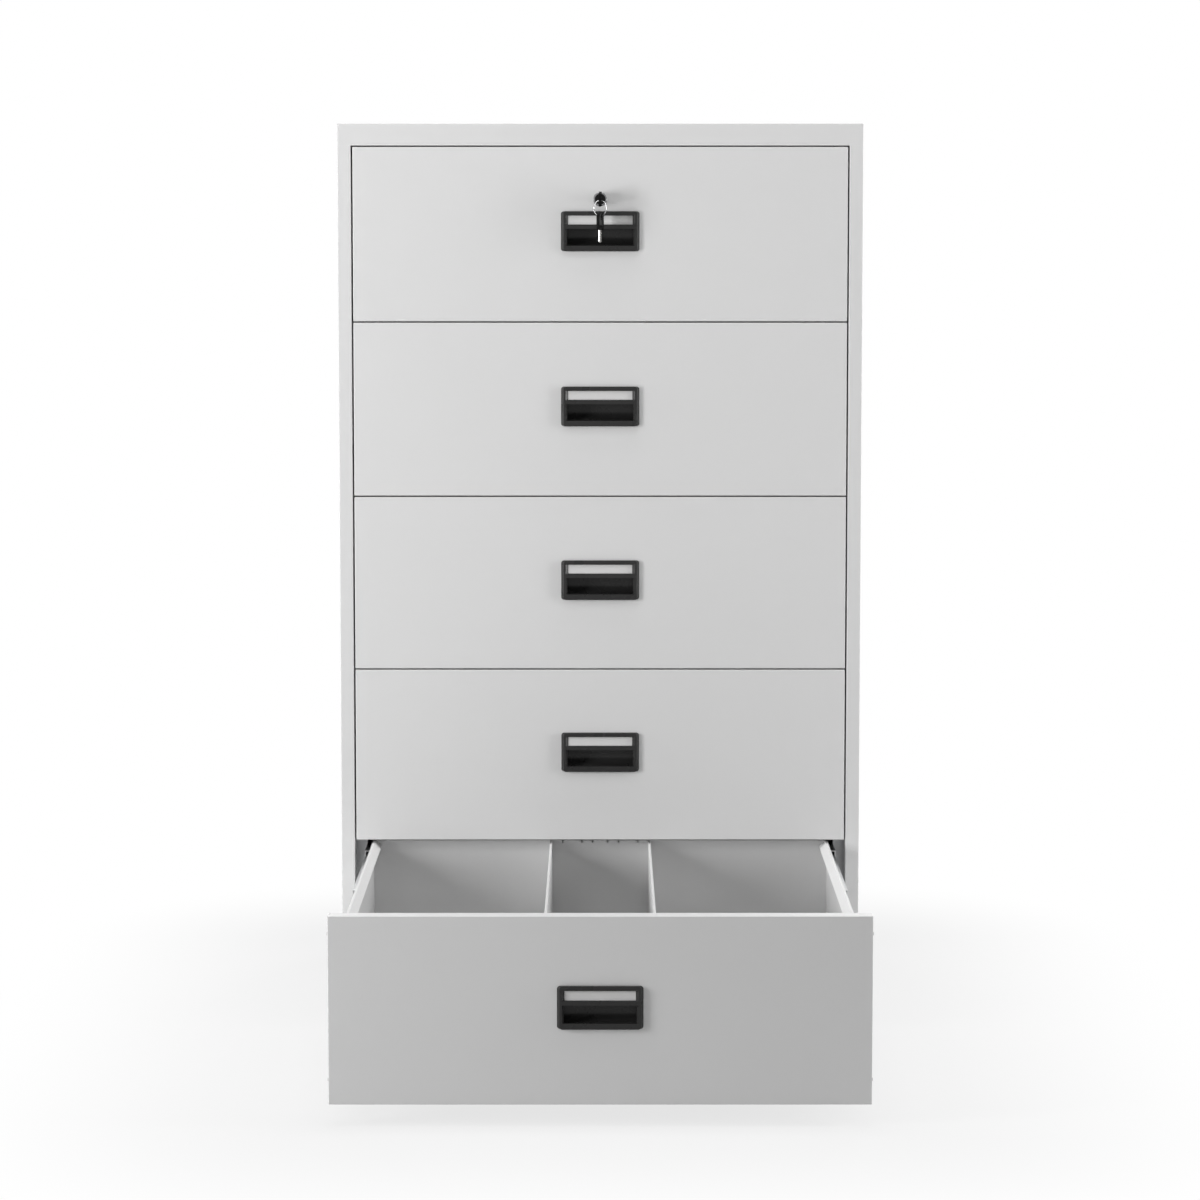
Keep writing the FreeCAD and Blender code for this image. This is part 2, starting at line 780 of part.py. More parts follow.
def make_runners():
    """The members on the trays and between them and the carcass, and those on the uprights."""
    fixed = []
    for number in range(1, DRAWERS + 1):
        inner = make_pair(f"drawer_{number}_runners", inner_section())
        place(inner, y=drawer_y(number), z=drawer_z(number))
        keep(inner)
        middle = make_pair(f"middle_runners_{number}", middle_section())
        place(middle, y=drawer_y(number, 0.5), z=drawer_z(number))
        keep(middle)
        outer = make_pair(f"outer_runners_{number}", outer_section())
        place(outer, y="-half_depth", z=drawer_z(number))
        fixed.append(outer)
    keep(group_of("cabinet_runners", fixed))


# Lock, keys and ring


def revolve(body, points):
    """Turn a section on the YZ plane about the Y axis."""
    sketch = sketch_on(body, "YZ_Plane", "0")
    draw_outline(sketch, points)
    feature = body.newObject("PartDesign::Revolution", f"{body.Name}_revolution")
    feature.Profile = sketch
    feature.ReferenceAxis = (sketch, ["H_Axis"])
    feature.Angle = 360
    return feature


def at_lock(body):
    """Move a piece from the lock's own axis to its place in the top drawer's front."""
    place(body, y=drawer_y(1), z=f"{drawer_z(1)} + front_height - lock_drop")
    keep(body)


def make_lock():
    """The cylinder lock, its nut, plug and cam, and the bolt that goes up behind the top rail."""
    housing = new_body("lock_housing")
    bore = "plug_radius + run_gap"
    revolve(housing, [
        ("-collar_proud", bore),
        ("-collar_proud", "collar_radius - collar_edge"),
        ("collar_edge - collar_proud", "collar_radius"),
        ("0", "collar_radius"),
        ("0", "barrel_radius"),
        ("barrel_length", "barrel_radius"),
        ("barrel_length", bore),
    ])
    at_lock(housing)

    nut = new_body("lock_nut")
    half = "lock_nut_radius / 2"
    flat = "lock_nut_radius * sqrt(3) / 2"
    pad(nut, "XZ_Plane", "sheet", "lock_nut_thickness", [[
        ("lock_nut_radius", "0"), (half, flat), (f"-{half}", flat),
        ("-lock_nut_radius", "0"), (f"-{half}", f"-{flat}"), (half, f"-{flat}"),
    ]])
    pocket(nut, "XZ_Plane", "sheet - overrun", "lock_nut_thickness + 2 * overrun", [],
           [("0", "0", "barrel_radius + run_gap")])
    at_lock(nut)

    plug = new_body("lock_plug")
    pad(plug, "XZ_Plane", "-plug_proud", "plug_proud + barrel_length", [], [("0", "0", "plug_radius")])
    pad(plug, "XZ_Plane", "barrel_length", "cam_front + cam_thickness - barrel_length",
        [centred_box("tail_width / 2", "-tail_width / 2", "tail_width / 2")])
    keyway = "blade_width / 2 + run_gap"
    pocket(plug, "XZ_Plane", "-plug_proud - overrun", "keyway_depth + overrun",
           [centred_box("blade_thickness / 2 + run_gap", f"-({keyway})", keyway)])
    at_lock(plug)

    cam = new_body("lock_cam")
    pad(cam, "XZ_Plane", "cam_front", "cam_thickness",
        [box_points("-pin_throw - 2 * pin_radius", "cam_width / 2", "-cam_width / 2", "cam_width / 2")])
    round_edges(cam, "cam_width / 3", lambda middle, direction: abs(direction.y) > 0.5)
    square = "tail_width / 2 + run_gap"
    pocket(cam, "XZ_Plane", "cam_front - overrun", "cam_thickness + 2 * overrun",
           [centred_box(square, f"-({square})", square)])
    pad(cam, "XZ_Plane", "cam_front + cam_thickness / 2",
        "cam_thickness / 2 + seat_gap + bolt_thickness", [], [("-pin_throw", "0", "pin_radius")])
    at_lock(cam)

    bolt = new_body("lock_bolt")
    pad(bolt, "XZ_Plane", "bolt_front", "bolt_thickness", [[
        ("-bolt_plate_width / 2", "-bolt_plate_low"),
        ("bolt_plate_width / 2", "-bolt_plate_low"),
        ("bolt_plate_width / 2", "bolt_plate_high"),
        ("bolt_width / 2", "bolt_plate_high"),
        ("bolt_width / 2", "lock_drop - sheet / 2"),
        ("-bolt_width / 2", "lock_drop - sheet / 2"),
        ("-bolt_width / 2", "bolt_plate_high"),
        ("-bolt_plate_width / 2", "bolt_plate_high"),
    ]])
    pocket(bolt, "XZ_Plane", "bolt_front - overrun", "bolt_thickness + 2 * overrun",
           [box_points("-pin_throw - pin_radius - seat_gap", "pin_radius + seat_gap",
                       "-pin_radius - seat_gap", "pin_radius + bolt_slack")])
    at_lock(bolt)


def make_key(label):
    """A key that hangs from the hole in its bow: the bow in the YZ plane, the blade down."""
    body = new_body(label)
    low = "bow_end - bow_length"
    bow = centred_box("bow_width / 2", low, "bow_end")
    pad(body, "YZ_Plane", "-bow_thickness / 2", "bow_thickness", [bow])
    round_edges(body, "bow_radius", lambda middle, direction: abs(direction.x) > 0.5)
    pocket(body, "YZ_Plane", "-bow_thickness / 2 - overrun", "bow_thickness + 2 * overrun", [],
           [("0", "0", "bow_hole_radius")])
    pad(body, "YZ_Plane", "-blade_thickness / 2", "blade_thickness",
        [centred_box("blade_width / 2", f"{low} - blade_length", f"{low} + overrun")])
    edge = "blade_width / 2"
    tip = f"{low} - blade_length"
    teeth = []
    for step in (1, 2, 3):
        root = f"{tip} + {step} * tooth_pitch"
        teeth.append([(f"{edge} + tooth_depth", f"{root} - tooth_depth"),
                      (f"{edge} + tooth_depth", f"{root} + tooth_depth * 2"),
                      (f"{edge} - tooth_depth", root)])
    pocket(body, "YZ_Plane", "-blade_thickness / 2 - overrun", "blade_thickness + 2 * overrun", teeth)
    return keep(body)


def make_keys():
    """The key in the lock, and a ring through its bow that carries the spare."""
    hole_y = f"{drawer_y(1)} - key_reach"
    lock_z = f"{drawer_z(1)} + front_height - lock_drop"
    key = make_key("key")
    key.Placement.Rotation = FreeCAD.Rotation(FreeCAD.Vector(1, 0, 0), 90)
    place(key, y=hole_y, z=lock_z)

    ring = doc.addObject("Part::Torus", "key_ring")
    ring.Label = "key_ring"
    bind(ring, "Radius1", "ring_radius")
    bind(ring, "Radius2", "ring_wire")
    upright = FreeCAD.Rotation(FreeCAD.Vector(1, 0, 0), 90)
    turn = FreeCAD.Rotation(FreeCAD.Vector(0, 0, 1), RING_TURN)
    ring.Placement.Rotation = turn.multiply(upright)
    place(ring, y=hole_y, z=f"{lock_z} - ring_hang - ring_radius")
    keep(ring)

    spare = make_key("spare_key")
    spare.Placement.Rotation = FreeCAD.Rotation(FreeCAD.Vector(0, 0, 1), SPARE_TURN)
    place(spare, y=hole_y, z=f"{lock_z} - ring_hang - 2 * ring_radius - spare_hang")


# The whole cabinet

make_side_panel()
make_top_cap()
make_back_panel()
make_base_pan()
make_feet()
make_uprights()
make_interlock_bar()
for number in range(1, DRAWERS + 1):
    make_front(number)
    make_tray(number)
    make_dividers(number)
    make_handle(number)
    make_label(number)
    make_bumpers(number)
make_runners()
make_lock()
make_keys()
doc.recompute()

# Every object is sound, every pocket takes something away, and every node is a closed solid

for item in doc.Objects:
    if {"Invalid", "Error"} & set(item.State):
        raise RuntimeError(f"{item.Name} did not compute: {item.State}")
    if item.TypeId == "PartDesign::Pocket" and item.BaseFeature.Shape.Volume <= item.Shape.Volume:
        raise RuntimeError(f"{item.Name} cuts nothing")
for node in nodes:
    shape = node.Shape
    if shape.isNull() or not shape.isValid() or not shape.Solids:
        raise RuntimeError(f"{node.Label} is not a sound solid")

os.makedirs("parts", exist_ok=True)
for node in nodes:
    node.Shape.exportStep(f"parts/{node.Label}.step")
print(f"{len(nodes)} nodes written")
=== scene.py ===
import logging
import math
from collections.abc import Callable, Iterable, Iterator
from contextlib import contextmanager
from dataclasses import dataclass
from enum import Enum

import bpy
from mathutils import Matrix, Vector


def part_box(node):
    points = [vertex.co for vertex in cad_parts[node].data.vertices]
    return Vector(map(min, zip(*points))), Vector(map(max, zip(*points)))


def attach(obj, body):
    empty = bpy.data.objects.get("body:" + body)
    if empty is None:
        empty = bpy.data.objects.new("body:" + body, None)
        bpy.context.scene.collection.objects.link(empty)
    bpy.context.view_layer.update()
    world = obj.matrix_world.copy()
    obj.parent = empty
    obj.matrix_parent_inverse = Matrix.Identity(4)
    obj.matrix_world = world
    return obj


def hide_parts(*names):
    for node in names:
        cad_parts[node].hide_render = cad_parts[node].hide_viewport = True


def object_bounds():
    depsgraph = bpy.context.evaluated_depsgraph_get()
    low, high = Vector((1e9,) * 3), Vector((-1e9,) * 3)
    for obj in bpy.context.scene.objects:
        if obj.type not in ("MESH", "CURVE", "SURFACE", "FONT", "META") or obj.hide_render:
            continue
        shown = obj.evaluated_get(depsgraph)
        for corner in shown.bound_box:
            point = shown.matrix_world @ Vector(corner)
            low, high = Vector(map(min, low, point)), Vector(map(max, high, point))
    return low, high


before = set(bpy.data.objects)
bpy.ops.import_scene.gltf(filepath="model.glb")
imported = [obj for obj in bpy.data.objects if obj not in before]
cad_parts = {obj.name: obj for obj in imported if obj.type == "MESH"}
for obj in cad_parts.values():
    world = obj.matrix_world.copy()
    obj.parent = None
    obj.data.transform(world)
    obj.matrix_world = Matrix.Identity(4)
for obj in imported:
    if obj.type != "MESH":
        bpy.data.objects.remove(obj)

LOG = logging.getLogger("filing_cabinet")
CAD_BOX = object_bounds()

Mesh = bpy.types.Object
Point = tuple[float, float, float]
MM = 0.001
EVEN: Point = (1.0, 1.0, 1.0)
SMOOTH_DEGREES = 35.0
QUARTER_TURN = 90.0
FULL_TURN = 360.0
# The Mix node's colour sockets, whose names its other kinds of socket share
MIX_FIRST = 6
MIX_SECOND = 7
MIX_RESULT = 2
DRAWERS = range(1, 6)


class Slot(Enum):
    """The record's material slots that the new pieces take their finishes from."""

    ZINC = "zinc_steel"
    PLASTIC = "black_plastic"
    CHROME = "chrome"


class Pick(Enum):
    """What an edit-mode selection is made of."""

    FACES = "FACE"
    EDGES = "EDGE"
    POINTS = "VERT"


# Node trees


class Graph:
    """A node tree with short ways to add nodes and join them."""

    def __init__(self, tree: bpy.types.NodeTree) -> None:
        """Hold the tree that the nodes go into."""
        self.tree = tree

    def add(self, kind: str, inputs: dict | None = None, **settings: object) -> bpy.types.Node:
        """Add a node and fill its sockets.

        Args:
            kind: The node's type.
            inputs: Values or output sockets by the input's name or number.
            **settings: The node's own options.

        Returns:
            The new node.
        """
        node = self.tree.nodes.new(kind)
        for name, setting in settings.items():
            setattr(node, name, setting)
        for key, item in (inputs or {}).items():
            self.feed(node.inputs[key], item)
        return node

    def feed(self, socket: bpy.types.NodeSocket, item: object) -> None:
        """Link an output to a socket, or set the socket's own value.

        Args:
            socket: The input to fill.
            item: An output, or a plain value.
        """
        if isinstance(item, bpy.types.NodeSocket):
            self.tree.links.new(item, socket)
        else:
            socket.default_value = item

    def sum_up(self, operation: str, first: object, second: object, clamp: bool = False) -> object:
        """Join two numbers with a Math node.

        Args:
            operation: The Math node's operation.
            first: A number or an output.
            second: A number or an output.
            clamp: Whether the result stays between 0 and 1.

        Returns:
            The node's output.
        """
        node = self.add("ShaderNodeMath", {0: first, 1: second}, operation=operation, use_clamp=clamp)
        return node.outputs[0]

    def spread(self, amount: object, low: float, high: float) -> object:
        """Map a value between 0 and 1 to a range."""
        node = self.add("ShaderNodeMapRange", {"Value": amount, "To Min": low, "To Max": high})
        return node.outputs["Result"]

    def blend(self, share: object, first: object, second: object) -> object:
        """Mix two colours by a share from 0 to 1.

        Args:
            share: How much of the second colour there is.
            first: A colour or an output.
            second: A colour or an output.

        Returns:
            The output that holds the mixed colour.
        """
        node = self.add("ShaderNodeMix", {"Factor": share}, data_type="RGBA")
        self.feed(node.inputs[MIX_FIRST], first)
        self.feed(node.inputs[MIX_SECOND], second)
        return node.outputs[MIX_RESULT]


def grey(level: float, warmth: float = 0.0) -> tuple[float, float, float, float]:
    """A grey of one level, a little warmer or cooler.

    Args:
        level: The linear brightness.
        warmth: What red gains and blue loses, as a share.

    Returns:
        The colour with full alpha.
    """
    return (level * (1 + warmth), level, level * (1 - warmth), 1.0)


def new_group(name: str, inputs: dict[str, float], outputs: Iterable[str]) -> bpy.types.NodeTree:
    """Start a shader node group.

    Args:
        name: The group's name.
        inputs: Its number inputs with their defaults. A Vector input is always added.
        outputs: The names of its number outputs.

    Returns:
        The group, holding only its input and output nodes.
    """
    group = bpy.data.node_groups.new(name, "ShaderNodeTree")
    group.interface.new_socket("Vector", in_out="INPUT", socket_type="NodeSocketVector")
    for label, default in inputs.items():
        socket = group.interface.new_socket(label, in_out="INPUT", socket_type="NodeSocketFloat")
        socket.default_value = default
    for label in outputs:
        group.interface.new_socket(label, in_out="OUTPUT", socket_type="NodeSocketFloat")
    return group


@dataclass(frozen=True)
class GrainGroup:
    """A fine grain and a broad unevenness, as on coated, cast or rolled surfaces."""

    fine_scale: float = 600.0
    fine_detail: float = 2.0
    fine_roughness: float = 0.45
    broad_scale: float = 4.0
    broad_detail: float = 3.0
    broad_roughness: float = 0.5

    def build(self) -> bpy.types.NodeTree:
        """Build the node group.

        Returns:
            The group, with the outputs Height and Tone.
        """
        scales = {"Fine Scale": self.fine_scale, "Broad Scale": self.broad_scale}
        group = new_group("surface_grain", scales, ("Height", "Tone"))
        graph = Graph(group)
        given = graph.add("NodeGroupInput")
        result = graph.add("NodeGroupOutput")
        place = given.outputs["Vector"]
        fine = graph.add("ShaderNodeTexNoise", {
            "Vector": place, "Scale": given.outputs["Fine Scale"], "Detail": self.fine_detail,
            "Roughness": self.fine_roughness,
        })
        broad = graph.add("ShaderNodeTexNoise", {
            "Vector": place, "Scale": given.outputs["Broad Scale"], "Detail": self.broad_detail,
            "Roughness": self.broad_roughness,
        })
        graph.feed(result.inputs["Height"], fine.outputs["Fac"])
        graph.feed(result.inputs["Tone"], broad.outputs["Fac"])
        return group


@dataclass(frozen=True)
class EdgeGroup:
    """A mask that rises along sharp edges, broken up by a noise, where hands and cloths rub and where the
    finishes lighten the colour as a painted highlight.
    """

    width: float = 0.6 * MM
    samples: int = 4
    gain: float = 6.0
    breakup: float = 180.0
    breakup_detail: float = 3.0
    breakup_low: float = 0.3

    def build(self) -> bpy.types.NodeTree:
        """Build the node group.

        Returns:
            The group, with the output Mask.
        """
        group = new_group("edge_rubbing_and_highlight", {"Width": self.width, "Breakup": self.breakup}, ("Mask",))
        graph = Graph(group)
        given = graph.add("NodeGroupInput")
        result = graph.add("NodeGroupOutput")
        rounded = graph.add("ShaderNodeBevel", {"Radius": given.outputs["Width"]}, samples=self.samples)
        surface = graph.add("ShaderNodeNewGeometry")
        normals = {0: rounded.outputs["Normal"], 1: surface.outputs["Normal"]}
        facing = graph.add("ShaderNodeVectorMath", normals, operation="DOT_PRODUCT")
        away = graph.sum_up("SUBTRACT", 1.0, facing.outputs["Value"])
        strong = graph.sum_up("MULTIPLY", away, self.gain, clamp=True)
        noise = graph.add("ShaderNodeTexNoise", {
            "Vector": given.outputs["Vector"], "Scale": given.outputs["Breakup"],
            "Detail": self.breakup_detail,
        })
        broken = graph.spread(noise.outputs["Fac"], self.breakup_low, 1.0)
        graph.feed(result.inputs["Mask"], graph.sum_up("MULTIPLY", strong, broken, clamp=True))
        return group


@dataclass(frozen=True)
class DustGroup:
    """A thin film that settles where a surface faces up, uneven in patches."""

    amount: float = 0.1
    patch_scale: float = 9.0
    patch_detail: float = 4.0
    facing_low: float = 0.6
    facing_high: float = 0.95

    def build(self) -> bpy.types.NodeTree:
        """Build the node group.

        Returns:
            The group, with the output Mask.
        """
        group = new_group("settled_dust", {"Amount": self.amount, "Patch Scale": self.patch_scale}, ("Mask",))
        graph = Graph(group)
        given = graph.add("NodeGroupInput")
        result = graph.add("NodeGroupOutput")
        surface = graph.add("ShaderNodeNewGeometry")
        parts = graph.add("ShaderNodeSeparateXYZ", {"Vector": surface.outputs["Normal"]})
        facing = graph.add("ShaderNodeMapRange", {
            "Value": parts.outputs["Z"], "From Min": self.facing_low, "From Max": self.facing_high,
        })
        noise = graph.add("ShaderNodeTexNoise", {
            "Vector": given.outputs["Vector"], "Scale": given.outputs["Patch Scale"],
            "Detail": self.patch_detail,
        })
        patches = graph.sum_up("MULTIPLY", noise.outputs["Fac"], given.outputs["Amount"])
        film = graph.sum_up("MULTIPLY", facing.outputs["Result"], patches, clamp=True)
        graph.feed(result.inputs["Mask"], film)
        return group


@dataclass(frozen=True)
class Groups:
    """The node groups that the finishes share, built once."""

    grain: bpy.types.NodeTree
    edge: bpy.types.NodeTree
    dust: bpy.types.NodeTree


GROUPS = Groups(GrainGroup().build(), EdgeGroup().build(), DustGroup().build())


# Finishes


@dataclass(frozen=True)
class Finish:
    """A surface with a Principled shader that its own paint method drives."""

    name: str

    def material(self) -> bpy.types.Material:
        """Build the material, or take it where it exists already.

        Returns:
            The material.
        """
        made = bpy.data.materials.get(self.name)
        if made:
            return made
        made = bpy.data.materials.new(self.name)
        made.use_nodes = True
        made.node_tree.nodes.clear()
        graph = Graph(made.node_tree)
        shader = graph.add("ShaderNodeBsdfPrincipled")
        graph.add("ShaderNodeOutputMaterial", {"Surface": shader.outputs["BSDF"]})
        self.paint(graph, shader)
        return made

    def paint(self, graph: Graph, shader: bpy.types.Node) -> None:
        """Drive the shader. Each finish has its own way."""
        raise NotImplementedError

    @staticmethod
    def place(graph: Graph, stretch: Point = EVEN) -> object:
        """Object coordinates in metres, stretched along the axes."""
        source = graph.add("ShaderNodeTexCoord").outputs["Object"]
        return graph.add("ShaderNodeMapping", {"Vector": source, "Scale": stretch}).outputs["Vector"]

    @staticmethod
    def place_group(graph: Graph, group: bpy.types.NodeTree, inputs: dict) -> bpy.types.Node:
        """Add a group node, set its tree first and then its sockets.

        Args:
            graph: The material's graph.
            group: The node group that is placed.
            inputs: Values or outputs by the input's name.

        Returns:
            The new node.
        """
        node = graph.add("ShaderNodeGroup", node_tree=group)
        for key, item in inputs.items():
            graph.feed(node.inputs[key], item)
        return node

    @staticmethod
    def emboss(graph: Graph, shader: bpy.types.Node, height: object, strength: float, depth: float) -> None:
        """Give the shader a bump.

        Args:
            graph: The material's graph.
            shader: The Principled shader.
            height: The output that holds the height.
            strength: How much of the bump shows, from 0 to 1.
            depth: The height's range in metres.
        """
        bump = graph.add("ShaderNodeBump", {"Height": height, "Strength": strength, "Distance": depth})
        graph.feed(shader.inputs["Normal"], bump.outputs["Normal"])


@dataclass(frozen=True)
class PowderCoat(Finish):
    """Satin powder coat: a fine orange peel over a broad, faint unevenness."""

    name: str = "grey_powder_coat"
    level: float = 0.62
    peel_scale: float = 520.0
    peel_depth: float = 0.05 * MM
    broad_scale: float = 3.0
    tone_swing: float = 0.015
    rough_low: float = 0.44
    rough_high: float = 0.54
    relief: float = 0.35
    rubbing_and_highlight_width: float = 0.7 * MM
    rubbing_and_highlight_share: float = 0.35
    rubbing_and_highlight_gain: float = 1.15
    dust_amount: float = 0.1
    dust_gain: float = 0.9
    dust_warmth: float = 0.02

    def paint(self, graph: Graph, shader: bpy.types.Node) -> None:
        """Coat colour, edges lightened partly as rubbed paint and partly as a painted highlight, dust on top
        faces and the peel.

        Args:
            graph: The material's graph.
            shader: The Principled shader.
        """
        place = self.place(graph)
        grain = self.place_group(graph, GROUPS.grain, {
            "Vector": place, "Fine Scale": self.peel_scale, "Broad Scale": self.broad_scale,
        })
        edge = self.place_group(graph, GROUPS.edge, {"Vector": place, "Width": self.rubbing_and_highlight_width})
        dust = self.place_group(graph, GROUPS.dust, {"Vector": place, "Amount": self.dust_amount})
        tone = grain.outputs["Tone"]
        low, high = self.level * (1 - self.tone_swing), self.level * (1 + self.tone_swing)
        coat = graph.blend(tone, grey(low), grey(high))
        # Lighter edges: partly rubbed paint, partly a painted highlight along the edges.
        rubbing_and_highlight = graph.sum_up("MULTIPLY", edge.outputs["Mask"], self.rubbing_and_highlight_share)
        rubbed_and_highlit = graph.blend(rubbing_and_highlight, coat, grey(self.level * self.rubbing_and_highlight_gain))
        dusty = graph.blend(dust.outputs["Mask"], rubbed_and_highlit, grey(self.level * self.dust_gain, self.dust_warmth))
        graph.feed(shader.inputs["Base Color"], dusty)
        satin = graph.spread(tone, self.rough_low, self.rough_high)
        graph.feed(shader.inputs["Roughness"], graph.sum_up("ADD", satin, dust.outputs["Mask"], clamp=True))
        self.emboss(graph, shader, grain.outputs["Height"], self.relief, self.peel_depth)


@dataclass(frozen=True)
class MouldedPlastic(Finish):
    """Injection-moulded plastic with a spark-eroded grain and slightly polished edges, their colour lightened
    partly for wear and partly as a painted highlight.
    """

    name: str = "black_moulded_plastic"
    level: float = 0.021
    grain_scale: float = 1900.0
    grain_depth: float = 0.03 * MM
    rough_low: float = 0.24
    rough_high: float = 0.32
    specular: float = 0.2
    broad_scale: float = 28.0
    low_gain: float = 0.85
    high_gain: float = 1.2
    warmth: float = 0.01
    relief: float = 0.4
    rubbing_and_highlight_width: float = 0.5 * MM
    rubbing_and_highlight_breakup: float = 300.0
    rubbing_and_highlight_share: float = 0.4
    rubbing_and_highlight_gain: float = 2.2
    polish: float = 0.12

    def paint(self, graph: Graph, shader: bpy.types.Node) -> None:
        """Dark body colour, smoother where it is handled, and lighter along the edges: partly wear, partly a
        painted highlight.

        Args:
            graph: The material's graph.
            shader: The Principled shader.
        """
        shader.inputs["Specular IOR Level"].default_value = self.specular
        place = self.place(graph)
        grain = self.place_group(graph, GROUPS.grain, {
            "Vector": place, "Fine Scale": self.grain_scale, "Broad Scale": self.broad_scale,
        })
        edge = self.place_group(graph, GROUPS.edge, {
            "Vector": place, "Width": self.rubbing_and_highlight_width, "Breakup": self.rubbing_and_highlight_breakup,
        })
        dark, light = (grey(self.level * gain, self.warmth) for gain in (self.low_gain, self.high_gain))
        body = graph.blend(grain.outputs["Tone"], dark, light)
        # Lighter edges: partly wear, partly a painted highlight along the edges.
        rubbing_and_highlight = graph.sum_up("MULTIPLY", edge.outputs["Mask"], self.rubbing_and_highlight_share)
        worn_and_highlit = graph.blend(rubbing_and_highlight, body, grey(self.level * self.rubbing_and_highlight_gain))
        graph.feed(shader.inputs["Base Color"], worn_and_highlit)
        satin = graph.spread(grain.outputs["Tone"], self.rough_low, self.rough_high)
        polished = graph.sum_up("MULTIPLY", edge.outputs["Mask"], self.polish)
        graph.feed(shader.inputs["Roughness"], graph.sum_up("SUBTRACT", satin, polished))
        self.emboss(graph, shader, grain.outputs["Height"], self.relief, self.grain_depth)


@dataclass(frozen=True)
class Metal(Finish):
    """Plated or polished metal with drawing lines along one axis and brighter edges, partly rubbed and partly
    a painted highlight.
    """

    name: str
    level: float
    rough_low: float
    rough_high: float
    warmth: float = 0.0
    stretch: Point = (1.0, 0.03, 1.0)
    line_scale: float = 900.0
    line_depth: float = 0.01 * MM
    line_unevenness: float = 60.0
    cloud_scale: float = 22.0
    streak_gain: float = 2.5
    contrast: float = 0.08
    relief: float = 0.5
    rubbing_and_highlight_width: float = 0.3 * MM
    rubbing_and_highlight_share: float = 0.5
    rubbing_and_highlight_gain: float = 1.3

    def paint(self, graph: Graph, shader: bpy.types.Node) -> None:
        """Metal colour in streaks, with a fine relief of lines.

        Args:
            graph: The material's graph.
            shader: The Principled shader.
        """
        drawn = self.place(graph, self.stretch)
        plain = self.place(graph)
        lines = self.place_group(graph, GROUPS.grain, {
            "Vector": drawn, "Fine Scale": self.line_scale, "Broad Scale": self.line_unevenness,
        })
        clouds = self.place_group(graph, GROUPS.grain, {
            "Vector": plain, "Fine Scale": self.line_scale, "Broad Scale": self.cloud_scale,
        })
        edge = self.place_group(graph, GROUPS.edge, {"Vector": plain, "Width": self.rubbing_and_highlight_width})
        streaks = graph.sum_up("MULTIPLY", lines.outputs["Tone"], clouds.outputs["Tone"])
        low, high = self.level * (1 - self.contrast), self.level * (1 + self.contrast)
        share = graph.spread(streaks, 0.0, self.streak_gain)
        metal = graph.blend(share, grey(low, self.warmth), grey(high, self.warmth))
        # Brighter edges: partly rubbed metal, partly a painted highlight.
        rubbing_and_highlight = graph.sum_up("MULTIPLY", edge.outputs["Mask"], self.rubbing_and_highlight_share)
        bright = graph.blend(rubbing_and_highlight, metal, grey(min(1.0, self.level * self.rubbing_and_highlight_gain), self.warmth))
        graph.feed(shader.inputs["Base Color"], bright)
        shader.inputs["Metallic"].default_value = 1.0
        satin = graph.spread(clouds.outputs["Tone"], self.rough_low, self.rough_high)
        graph.feed(shader.inputs["Roughness"], satin)
        self.emboss(graph, shader, lines.outputs["Height"], self.relief, self.line_depth)


@dataclass(frozen=True)
class Card(Finish):
    """Uncoated card: short fibres and a faint mottle."""

    name: str = "label_card_stock"
    level: float = 0.62
    tone_swing: float = 0.03
    warmth: float = 0.01
    tone_low: float = 0.2
    tone_high: float = 0.8
    stretch: Point = (0.25, 1.0, 1.0)
    fibre_scale: float = 2600.0
    fibre_depth: float = 0.02 * MM
    mottle_scale: float = 420.0
    rough_low: float = 0.75
    rough_high: float = 0.95
    relief: float = 0.3

    def paint(self, graph: Graph, shader: bpy.types.Node) -> None:
        """Paper colour with fibres across it.

        Args:
            graph: The material's graph.
            shader: The Principled shader.
        """
        fibres = self.place_group(graph, GROUPS.grain, {
            "Vector": self.place(graph, self.stretch), "Fine Scale": self.fibre_scale,
            "Broad Scale": self.mottle_scale,
        })
        tone = graph.spread(fibres.outputs["Tone"], self.tone_low, self.tone_high)
        low, high = self.level * (1 - self.tone_swing), self.level * (1 + self.tone_swing)
        graph.feed(shader.inputs["Base Color"], graph.blend(tone, grey(low, self.warmth), grey(high)))
        rough = graph.spread(fibres.outputs["Height"], self.rough_low, self.rough_high)
        graph.feed(shader.inputs["Roughness"], rough)
        self.emboss(graph, shader, fibres.outputs["Height"], self.relief, self.fibre_depth)


@dataclass(frozen=True)
class LevellingFoot(Finish):
    """A zinc stud above a black moulded pad, told apart by height."""

    name: str = "stud_and_pad"
    pad_height: float = 6.0 * MM
    pad_levels: tuple[float, float] = (0.014, 0.024)
    stud_levels: tuple[float, float] = (0.5, 0.6)
    grain_scale: float = 1500.0
    broad_scale: float = 40.0
    rough_low: float = 0.35
    rough_high: float = 0.55
    thread_scale: float = 200.0
    thread_depth: float = 0.3 * MM
    relief: float = 0.8

    def paint(self, graph: Graph, shader: bpy.types.Node) -> None:
        """Switch from plastic to metal at the top of the pad.

        Args:
            graph: The material's graph.
            shader: The Principled shader.
        """
        place = self.place(graph)
        parts = graph.add("ShaderNodeSeparateXYZ", {"Vector": place})
        stud = graph.sum_up("GREATER_THAN", parts.outputs["Z"], self.pad_height)
        grain = self.place_group(graph, GROUPS.grain, {
            "Vector": place, "Fine Scale": self.grain_scale, "Broad Scale": self.broad_scale,
        })
        tone = grain.outputs["Tone"]
        plastic = graph.blend(tone, *(grey(level) for level in self.pad_levels))
        metal = graph.blend(tone, *(grey(level) for level in self.stud_levels))
        graph.feed(shader.inputs["Base Color"], graph.blend(stud, plastic, metal))
        graph.feed(shader.inputs["Metallic"], stud)
        graph.feed(shader.inputs["Roughness"], graph.spread(tone, self.rough_low, self.rough_high))
        thread = graph.add("ShaderNodeTexWave", {"Vector": place, "Scale": self.thread_scale},
                           bands_direction="Z")
        height = graph.sum_up("MULTIPLY", thread.outputs["Fac"], stud)
        self.emboss(graph, shader, height, self.relief, self.thread_depth)


